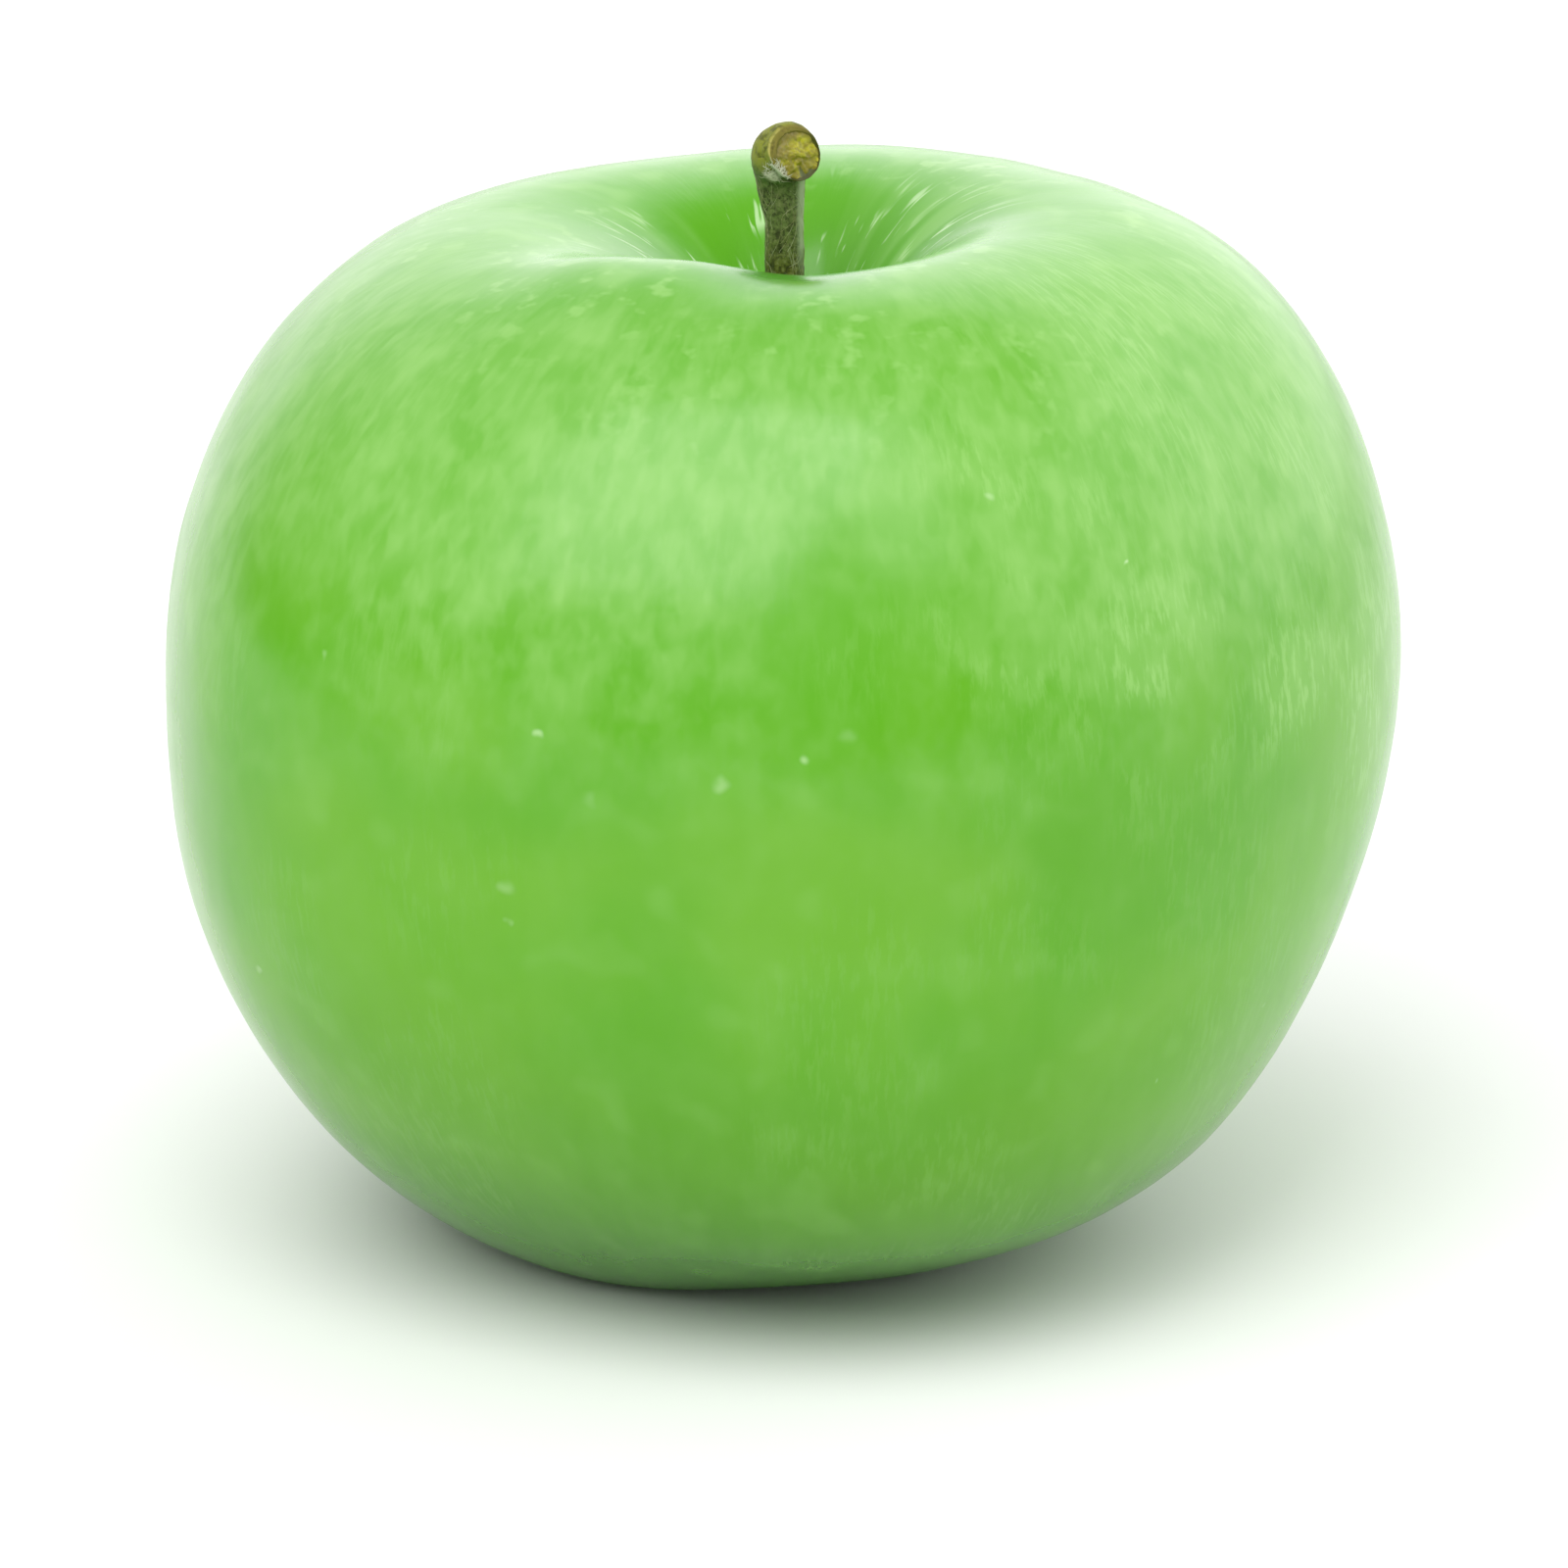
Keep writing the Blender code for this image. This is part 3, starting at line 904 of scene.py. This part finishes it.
def rgb(red, green, blue):
    """A colour in Blender's own linear numbers."""
    return (red, green, blue, 1.0)


def wear(piece, material):
    """Puts one finish on the whole piece."""
    piece.data.materials.clear()
    piece.data.materials.append(material)


# %% [markdown]
# The skin of a green apple is a wash of greens with a pale bloom, small pores, and fine pale streaks
# that run from the stem down the sides. Streaks need coordinates that follow the fruit: the direction
# round the stem and the angle down from the top. Stretching one against the other makes the streaks
# fan out from the stem, as grown ones do.

# %% Coordinates that fan out from the stem


def fan(recipe, around, down, seed=0.0):
    """Pattern coordinates with so many cells round the fruit and down its side, per radian."""
    east = recipe.times(recipe.east, around)
    north = recipe.times(recipe.north, around)
    return recipe.triple(east, north, recipe.line(recipe.polar, down, seed))


def fruit_recipe(name):
    """A recipe that also knows the direction round the stem and the angle down from the top."""
    recipe = Recipe(name)
    x, y, z = recipe.split(recipe.shift(recipe.place, tuple(-fruit_heart)))
    reach = recipe.sum("SQRT", recipe.sum("ADD", recipe.times(x, x), recipe.times(y, y)))
    reach = recipe.sum("MAXIMUM", reach, 0.01 * MM)
    recipe.reach = reach
    recipe.east = recipe.sum("DIVIDE", x, reach)
    recipe.north = recipe.sum("DIVIDE", y, reach)
    recipe.polar = recipe.sum("ARCTAN2", reach, z)
    recipe.height = recipe.split(recipe.place)[2]
    return recipe


# %% [markdown]
# The greens come first: a rich green, a paler one in soft clouds and a fresher one near the top.
# Near the table the skin is darker and yellower, partly its own tone and partly painted shade, and
# the very base is a deep green of painted shade.

# %% The greens of the skin
RICH_GREEN = rgb(0.100, 0.385, 0.005)
SOFT_GREEN = rgb(0.134, 0.415, 0.010)
TOP_GREEN = rgb(0.135, 0.440, 0.034)
LOW_TONE_AND_SHADE_GREEN = rgb(0.092, 0.285, 0.003)
BASE_SHADE_GREEN = rgb(0.036, 0.185, 0.000)
PALE_GREEN = rgb(0.300, 0.600, 0.150)
PORE_GREEN = rgb(0.520, 0.760, 0.380)
LIP_SHADE_GREEN = rgb(0.045, 0.270, 0.002)
LIP_SHADE_MIDDLE = Vector((0.0, -14.0, 65.5)) * MM
RUSSET = rgb(0.170, 0.150, 0.030)
TOP_HEIGHTS = (34.0 * MM, 60.0 * MM)
LOW_TONE_AND_SHADE_HEIGHTS = (30.0 * MM, 4.0 * MM)
BASE_SHADE_HEIGHTS = (16.0 * MM, 3.0 * MM)

look = fruit_recipe("green_skin")
clouds = look.noise(look.place, 48.0, 2.0, 0.55)
look.colour = look.blend(look.step(clouds, 0.38, 0.66), RICH_GREEN, SOFT_GREEN)
look.paint(TOP_GREEN, look.step(look.height, *TOP_HEIGHTS), 0.75)
# Painted shade: darker and yellower towards the table, and a deep green at the base.
look.paint(LOW_TONE_AND_SHADE_GREEN, look.step(look.height, *LOW_TONE_AND_SHADE_HEIGHTS), 0.75)
look.paint(BASE_SHADE_GREEN, look.step(look.height, *BASE_SHADE_HEIGHTS), 0.75)

# %% [markdown]
# Next come the pale marks of the upper half. They are soft dabs of several sizes, drawn out a little
# down the sides, and each size is one noise laid over the others. They crowd on the upper flank and
# thin out towards the belly, which is almost plain. Two places on the flank stay calm and deep green.

# %% Soft dabs
upper = look.step(look.height, 36.0 * MM, 53.0 * MM)
outside = look.step(look.polar, 0.42, 0.78)
flank = look.times(look.step(look.height, 47.0 * MM, 55.0 * MM), outside)
mottle = look.step(look.noise(look.place, 165.0, 2.0), 0.46, 0.74)
DABS = (
    (24.0, 14.0, 11.0, 0.26, 0.02),
    (11.0, 8.0, 17.0, 0.20, 0.04),
    (38.0, 26.0, 23.0, 0.18, 0.01),
)

CALM_PLACES = (
    ((5.0, -38.0, 49.0), 12.0),
    ((-30.5, -22.0, 47.0), 14.0),
)
calm = 1.0
for place, reach in CALM_PLACES:
    away = look.line(clouds, 16.0 * MM, look.far(look.place, Vector(place) * MM))
    calm = look.times(calm, look.step(away, 7.0 * MM, (7.0 + reach) * MM))
upper = look.times(upper, look.line(calm, 0.9, 0.1))
look.paint(PALE_GREEN, flank, calm, 0.14)
look.paint(PALE_GREEN, mottle, look.line(upper, 0.18, 0.05))
for around, down, seed, more, least in DABS:
    dabs = look.step(look.noise(fan(look, around, down, seed), 1.0, 1.0, 0.5, 0.3), 0.40, 0.70)
    share = look.times(look.line(upper, more, least), outside)
    look.paint(PALE_GREEN, dabs, share)

shoulder = look.times(look.step(look.polar, 0.24, 0.40), look.step(look.polar, 1.10, 0.60))
blotches = look.step(look.noise(look.place, 620.0, 2.0), 0.54, 0.70)
patchy = look.step(look.noise(look.place, 110.0, 1.0), 0.38, 0.58)
look.paint(PALE_GREEN, blotches, shoulder, patchy, 0.62)

spots = look.step(look.noise(look.place, 330.0, 0.0), 0.60, 0.84)
look.paint(PALE_GREEN, spots, look.line(upper, 0.26, 0.09))

# %% [markdown]
# Rays run out of the hollow, and fine streaks run down the sides. Most streaks are too faint to
# notice, but on the right of this apple they gather in a few pale patches. Each patch is a place on the
# skin and a reach round it.

# %% Rays and streaks
PALE_PATCHES = (
    ((14.3, -32.5, 56.5), 8.5),
    ((14.4, -35.2, 50.5), 6.5),
    ((23.5, -31.0, 45.5), 9.0),
    ((24.4, -14.5, 63.3), 17.0),
    ((33.0, -12.0, 54.0), 11.0),
    ((33.5, -22.5, 42.0), 7.5),
    ((38.0, -11.0, 40.0), 12.0),
)
PATCH_SHARE = 0.62

hollow = look.step(look.polar, 0.44, 0.30)
look.paint(RICH_GREEN, hollow, 0.85)
rays = look.step(look.noise(fan(look, 8.0, 1.6), 1.0, 2.0), 0.48, 0.74)
near_top = look.times(look.step(look.polar, 0.95, 0.45), look.sum("SUBTRACT", 1.0, hollow))
look.paint(PALE_GREEN, rays, look.line(near_top, 0.14, 0.06))

streaks = look.step(look.noise(fan(look, 88.0, 20.0, 3.0), 1.0, 3.0, 0.6), 0.47, 0.63)
streak_parts = look.step(look.noise(look.place, 60.0, 1.0), 0.46, 0.62)
streak_share = look.times(streak_parts, 0.10)
for place, reach in PALE_PATCHES:
    middle = Vector(place) * MM
    patch = look.step(look.far(look.place, middle), reach * 1.25 * MM, reach * 0.10 * MM)
    streak_share = look.sum("MAXIMUM", streak_share, look.times(patch, PATCH_SHARE))
broken = look.step(look.noise(look.place, 130.0, 1.0), 0.36, 0.58)
look.paint(PALE_GREEN, streaks, streak_share, broken)
haze = look.times(look.step(streak_share, 0.15, 0.60), look.line(broken, 0.18, 0.08))
look.paint(PALE_GREEN, haze)

# %% [markdown]
# The wall of the hollow is plain green, with short bright dashes that point at the stem and a few wide
# soft rays at its sides. The dashes are long cells, counted round the stem and along the height.

# %% Dashes in the hollow
cells = look.triple(look.east, look.north, look.height)
cells = look.vector("MULTIPLY", "Vector", cells, (24.0, 24.0, 480.0))
dashes = look.step(look.noise(look.waved(cells, 0.8, 0.9), 1.0, 1.0), 0.60, 0.70)
crowd = look.step(look.noise(look.place, 190.0, 0.0), 0.36, 0.52)
look.paint(PORE_GREEN, dashes, hollow, crowd, 0.85)
wide_rays = look.step(look.noise(fan(look, 4.2, 1.2, 7.0), 1.0, 1.0), 0.52, 0.70)
at_sides = look.step(look.sum("ABSOLUTE", look.east), 0.25, 0.75)
look.paint(PALE_GREEN, wide_rays, hollow, at_sides, 0.45)

# %% [markdown]
# A few pores are large enough to see from a step away. The most plain ones are put where this apple
# has them; the others are scattered by a cell pattern. The lip in front of the stem gets painted
# shade, a deeper green, and the skin is russet where the stem goes in. A waxed skin has very little
# relief.

# %% Pores and relief
LARGE_PORES = (
    ((-14.9, -36.3, 43.0), 0.42, 0.60),
    ((-3.8, -39.4, 40.9), 0.75, 0.34),
    ((-17.0, -35.9, 33.3), 0.85, 0.34),
    ((20.9, -30.4, 52.2), 0.26, 0.75),
    ((3.9, -39.0, 43.9), 0.80, 0.22),
    ((-11.8, -37.4, 39.4), 0.80, 0.20),
)

wavy = look.waved(look.place, 900.0, 0.9 * MM)
for place, reach, share in LARGE_PORES:
    pore = look.step(look.far(wavy, Vector(place) * MM), reach * MM, 0.0)
    look.paint(PORE_GREEN, pore, share)
pores = look.dots(wavy, 175.0, 0.01, 0.09, 0.30)
look.paint(PORE_GREEN, pores, 0.50)

# Painted shade: a deeper green on the lip in front of the stem.
painted_lip_shade = look.step(look.far(look.place, LIP_SHADE_MIDDLE), 8.0 * MM, 2.5 * MM)
look.paint(LIP_SHADE_GREEN, painted_lip_shade, 0.85)
at_stem = look.step(look.reach, 2.9 * MM, 1.5 * MM)
look.paint(RUSSET, at_stem, look.step(look.height, 45.0 * MM, 50.0 * MM), 0.8)

fine = look.noise(look.place, 1300.0, 1.0)
grain = look.noise(fan(look, 40.0, 8.0, 5.0), 1.0, 1.0)
soft = look.noise(look.place, 150.0, 0.0)
relief = look.bump(fine, 0.008 * MM)
relief = look.bump(grain, 0.006 * MM, relief)
relief = look.bump(soft, 0.05 * MM, relief)
gloss = look.line(mottle, 0.06, 0.20)
wear(skin, look.finish(gloss, relief, Specular_IOR_Level=0.37, Coat_Weight=0.06, Coat_Roughness=0.20))

# %% [markdown]
# The bark is grey green above and brown below, with dark specks, fine pale fibres that cross it and a
# thin pale film on its right side. Fibres are long thin cells, so the pattern's coordinates are
# squeezed along the stalk. The lip round the cut is darker, and pale along its upper left ridge.

# %% The bark's finish
GREY_BARK = rgb(0.140, 0.185, 0.052)
BROWN_BARK = rgb(0.112, 0.108, 0.004)
KNEE_BARK = rgb(0.240, 0.262, 0.030)
DARK_SPECK = rgb(0.014, 0.016, 0.002)
PALE_FIBRE = rgb(0.330, 0.340, 0.150)
PALE_RIDGE = rgb(0.520, 0.480, 0.130)
CUT_BAND = rgb(0.200, 0.165, 0.030)
DARK_LIP = rgb(0.050, 0.046, 0.006)
PALE_FILM = rgb(0.420, 0.480, 0.300)
GREY_FROM = (61.0 * MM, 67.0 * MM)
SHAFT_UP_TO = (70.0 * MM, 68.0 * MM)
KNEE_FROM = (69.4 * MM, 70.8 * MM)
FILM_ASIDE = (0.70 * MM, 1.10 * MM)
FILM_UP_TO = (70.5 * MM, 69.0 * MM)
FILM_FROM = (62.5 * MM, 65.5 * MM)

look = Recipe("stem_bark")
x, y, z = look.split(look.place)
look.colour = look.blend(look.step(z, *GREY_FROM), BROWN_BARK, GREY_BARK)
look.paint(KNEE_BARK, look.step(z, *KNEE_FROM))
patches = look.noise(look.place, 1100.0, 4.0, 0.65, 0.5)
look.paint(DARK_SPECK, look.step(patches, 0.50, 0.36), 0.60)
fibre_cells = look.vector("MULTIPLY", "Vector", look.place, (4200.0, 4200.0, 800.0))
fibre_cells = look.waved(fibre_cells, 0.35, 2.5, 2.0)
fibre_marks = look.step(look.noise(fibre_cells, 1.0, 3.0, 0.6, 0.8), 0.56, 0.70)
look.paint(PALE_FIBRE, fibre_marks, 0.45)
below_knee = look.step(z, *SHAFT_UP_TO)
specks = look.dots(look.waved(look.place, 3000.0, 0.15 * MM, 2.0), 3000.0, 0.16, 0.34, 0.45)
look.paint(DARK_SPECK, specks, below_knee, 0.75)
grit = look.noise(look.place, 3800.0, 2.0, 0.6)
look.paint(DARK_SPECK, look.step(grit, 0.50, 0.38), below_knee, 0.55)
look.paint(PALE_FIBRE, look.step(grit, 0.54, 0.66), below_knee, 0.30)
film = look.times(look.step(x, *FILM_ASIDE), look.step(z, *FILM_UP_TO), look.step(z, *FILM_FROM))
look.paint(PALE_FILM, film, 0.95)
from_lip = look.shift(look.place, tuple(-lip_middle))
at_lip = look.step(look.along(from_lip, heading), -0.30 * MM, -0.12 * MM)
upper_left = look.step(look.along(from_lip, -lower_right), -0.5 * MM, 0.6 * MM)
far_left = look.step(look.along(from_lip, -across), 0.2 * MM, 1.4 * MM)
look.paint(look.blend(upper_left, DARK_LIP, CUT_BAND), at_lip, 0.85)
ridge_radius = FACE_RADIUS * LIP_IN + LIP_REACH / 2
ridge_middle = lip_middle - lower_right * LIP_REACH / 2
off_ridge = look.sum("SUBTRACT", look.far(look.place, ridge_middle), ridge_radius)
ridge = look.times(look.step(look.sum("ABSOLUTE", off_ridge), 0.16 * MM, 0.06 * MM), at_lip)
look.paint(PALE_RIDGE, ridge, upper_left, far_left, 0.9)
relief = look.bump(fibre_marks, 0.05 * MM)
relief = look.bump(patches, 0.12 * MM, relief)
wear(bark, look.finish(0.66, relief, Specular_IOR_Level=0.2, Sheen_Weight=0.07, Sheen_Roughness=0.4))

# %% [markdown]
# The fibres and the fluff are dry and dull, and palest at the knee, where dust settles on them.

# %% The fibres' finish
look = Recipe("dry_fibre")
tints = look.noise(look.place, 700.0, 2.0)
look.colour = look.blend(look.step(tints, 0.40, 0.60), rgb(0.300, 0.300, 0.120), rgb(0.520, 0.540, 0.320))
high_up = look.step(look.split(look.place)[2], 69.0 * MM, 69.8 * MM)
look.paint(rgb(0.620, 0.640, 0.480), high_up, 0.8)
wear(fibres, look.finish(0.7, Specular_IOR_Level=0.3))

# %% [markdown]
# The cut wood is wet and a little glassy, so it gets a low roughness and a clear coat. Its colour
# runs from a bright yellow in the middle to a brown rim, broken up by olive patches. Its upper left,
# beside the bark's lip, is browner, partly the wood's own colour and partly painted shade.

# %% The cut wood's finish
WOOD_YELLOW = rgb(0.500, 0.470, 0.020)
WOOD_OLIVE = rgb(0.220, 0.190, 0.010)
WOOD_RIM = rgb(0.110, 0.085, 0.008)
WOOD_BAND_AND_SHADE = rgb(0.230, 0.190, 0.040)

look = Recipe("stem_wood")
patches = look.noise(look.place, 1050.0, 3.0, 0.55, 0.6)
look.colour = look.blend(look.step(patches, 0.62, 0.40), WOOD_YELLOW, WOOD_OLIVE)
bright_spot = wood_middle + (across * 0.20 - over * 0.30) * MM
rim = look.step(look.far(look.place, bright_spot), wood_radius * 0.80, wood_radius * 1.10)
look.paint(WOOD_RIM, rim, 0.7)
from_wood = look.shift(look.place, tuple(-wood_middle))
# Partly painted shade: browner on the upper left, beside the bark's lip.
band_and_shade = look.step(look.along(from_wood, -lower_right), 0.1 * MM, 1.1 * MM)
look.paint(WOOD_BAND_AND_SHADE, band_and_shade, 0.7)
relief = look.bump(patches, 0.12 * MM)
wear(wood, look.finish(0.28, relief, Specular_IOR_Level=0.35, Coat_Weight=0.25, Coat_Roughness=0.1))

# %% [markdown]
# The dried flower parts are brown and dull. The sepals carry a thin pale down, and the stamens are
# darker at their tips.

# %% The finishes of the calyx and its stamens
SEPAL_BROWN = rgb(0.165, 0.110, 0.035)
SEPAL_DARK = rgb(0.045, 0.026, 0.008)
SEPAL_DOWN = rgb(0.400, 0.330, 0.180)
STAMEN_BROWN = rgb(0.120, 0.068, 0.024)
STAMEN_DARK = rgb(0.025, 0.013, 0.005)

look = Recipe("dried_sepal")
patches = look.noise(look.place, 700.0, 4.0, 0.6, 0.4)
look.colour = look.blend(look.step(patches, 0.36, 0.60), SEPAL_DARK, SEPAL_BROWN)
down = look.step(look.noise(look.place, 2600.0, 2.0, 0.6, 1.0), 0.60, 0.72)
look.paint(SEPAL_DOWN, down, 0.5)
relief = look.bump(patches, 0.15 * MM)
wear(calyx, look.finish(0.78, relief, Specular_IOR_Level=0.25))

look = Recipe("dried_stamen")
patches = look.noise(look.place, 1100.0, 3.0, 0.6)
look.colour = look.blend(look.step(patches, 0.38, 0.60), STAMEN_DARK, STAMEN_BROWN)
tips = look.step(look.split(look.place)[2], 6.4 * MM, 4.8 * MM)
look.paint(STAMEN_DARK, tips, 0.7)
wear(stamens, look.finish(0.74, look.bump(patches, 0.10 * MM), Specular_IOR_Level=0.25))

# %% [markdown]
# ## The table, the light and the camera
#
# The apple stands on a plain white table, so wide that its edge never shows behind the fruit. It is
# quite dull, as paper is.

# %% The table
TABLE_SIZE = 12.0

pick_none()
bpy.ops.mesh.primitive_plane_add(size=TABLE_SIZE)
table = added("white_table")
look = Recipe("white_table")
look.colour = rgb(0.955, 0.955, 0.955)
wear(table, look.finish(1.0, Specular_IOR_Level=0.0))

# %% [markdown]
# The light is that of a white tent, which isn't equally bright all round. A sky whose glow depends on
# the direction gives this without any edges: it is brightest behind the apple and to its right, where
# the pale rims of the fruit mirror it, softly bright high up in front, and dim low in front, where the
# skin shows its deepest green. Its coordinates are the direction that one looks in. Seen by the camera
# itself, the sky is plain white.

# %% The sky
BRIGHT_SIDE = (41, 12)
BRIGHT_GLOW = 1.73
HIGH_SIDE = (-135, 55)
HIGH_GLOW = 0.74
LEAST_GLOW = 0.06


def towards(turn, rise):
    """The direction so many degrees clockwise from straight behind the apple, and so many up."""
    level = math.cos(math.radians(rise))
    away = math.radians(turn)
    return Vector((math.sin(away) * level, math.cos(away) * level, math.sin(math.radians(rise))))


look = Recipe("white_tent", "worlds", "Background", "Generated")
low_enough = look.step(look.split(look.place)[2], 0.92, 0.57)
bright = look.step(look.along(look.place, towards(*BRIGHT_SIDE)), -0.45, 0.97)
high = look.step(look.along(look.place, towards(*HIGH_SIDE)), 0.29, 0.97)
glow = look.line(high, HIGH_GLOW, look.times(bright, low_enough, BRIGHT_GLOW))
glow = look.sum("ADD", glow, LEAST_GLOW)
seen = look.node("ShaderNodeLightPath").outputs["Is Camera Ray"]
look.feed(look.shader.inputs["Color"], rgb(1.0, 1.0, 1.0))
look.feed(look.shader.inputs["Strength"], look.sum("MAXIMUM", glow, seen))
bpy.context.scene.world = look.owner
print("the sky has", len(look.tree.nodes), "nodes")

# %% [markdown]
# A large window, high in front and to the left, draws the long highlight on the apple's cheek. Its
# right part is dimmer, as behind a curtain. Both are flat lights of a real size, because the shape of
# a light is what a shiny skin mirrors.

# %% The window and its curtain
WINDOW_AWAY = 3.0
WINDOW = ((-152, 54), (2.10, 2.90), 2.70)
CURTAIN = ((158, 56), (1.17, 2.50), 1.30)
LIT_PLACE = UP * 35.0 * MM


def add_window(name, side, size, glow):
    """A flat white light of the given glow that faces the apple, out of the camera's own sight."""
    bpy.ops.object.light_add(type="AREA", location=LIT_PLACE + towards(*side) * WINDOW_AWAY)
    window = bpy.context.object
    window.name = name
    window.data.shape = "RECTANGLE"
    window.data.size, window.data.size_y = size
    window.data.energy = glow * math.pi * size[0] * size[1]
    window.rotation_euler = towards(*side).to_track_quat("Z", "Y").to_euler()
    window.visible_camera = False
    print(name, "stands at", in_mm(window.location))


add_window("window", *WINDOW)
add_window("curtain", *CURTAIN)
bpy.context.scene.view_settings.view_transform = "Standard"

# %% [markdown]
# The photograph looks down on the apple at seventeen degrees from about sixty centimetres away, with
# a long lens. The lens comes from the size of the apple in the picture.

# %% The camera
CAMERA_DROP = math.radians(17)
CAMERA_DISTANCE = 0.600
CAMERA_AIM = Vector((0.0, 0.0, 28.87 * MM))
CAMERA_LENS = 212.3

back_off = Vector((0.0, -math.cos(CAMERA_DROP), math.sin(CAMERA_DROP))) * CAMERA_DISTANCE
bpy.ops.object.camera_add(location=CAMERA_AIM + back_off)
camera = bpy.context.object
camera.rotation_euler = back_off.to_track_quat("Z", "Y").to_euler()
camera.data.lens = CAMERA_LENS
camera.data.sensor_width = 36.0
camera.data.sensor_fit = "HORIZONTAL"
camera.data.clip_start = 0.01
bpy.context.scene.camera = camera
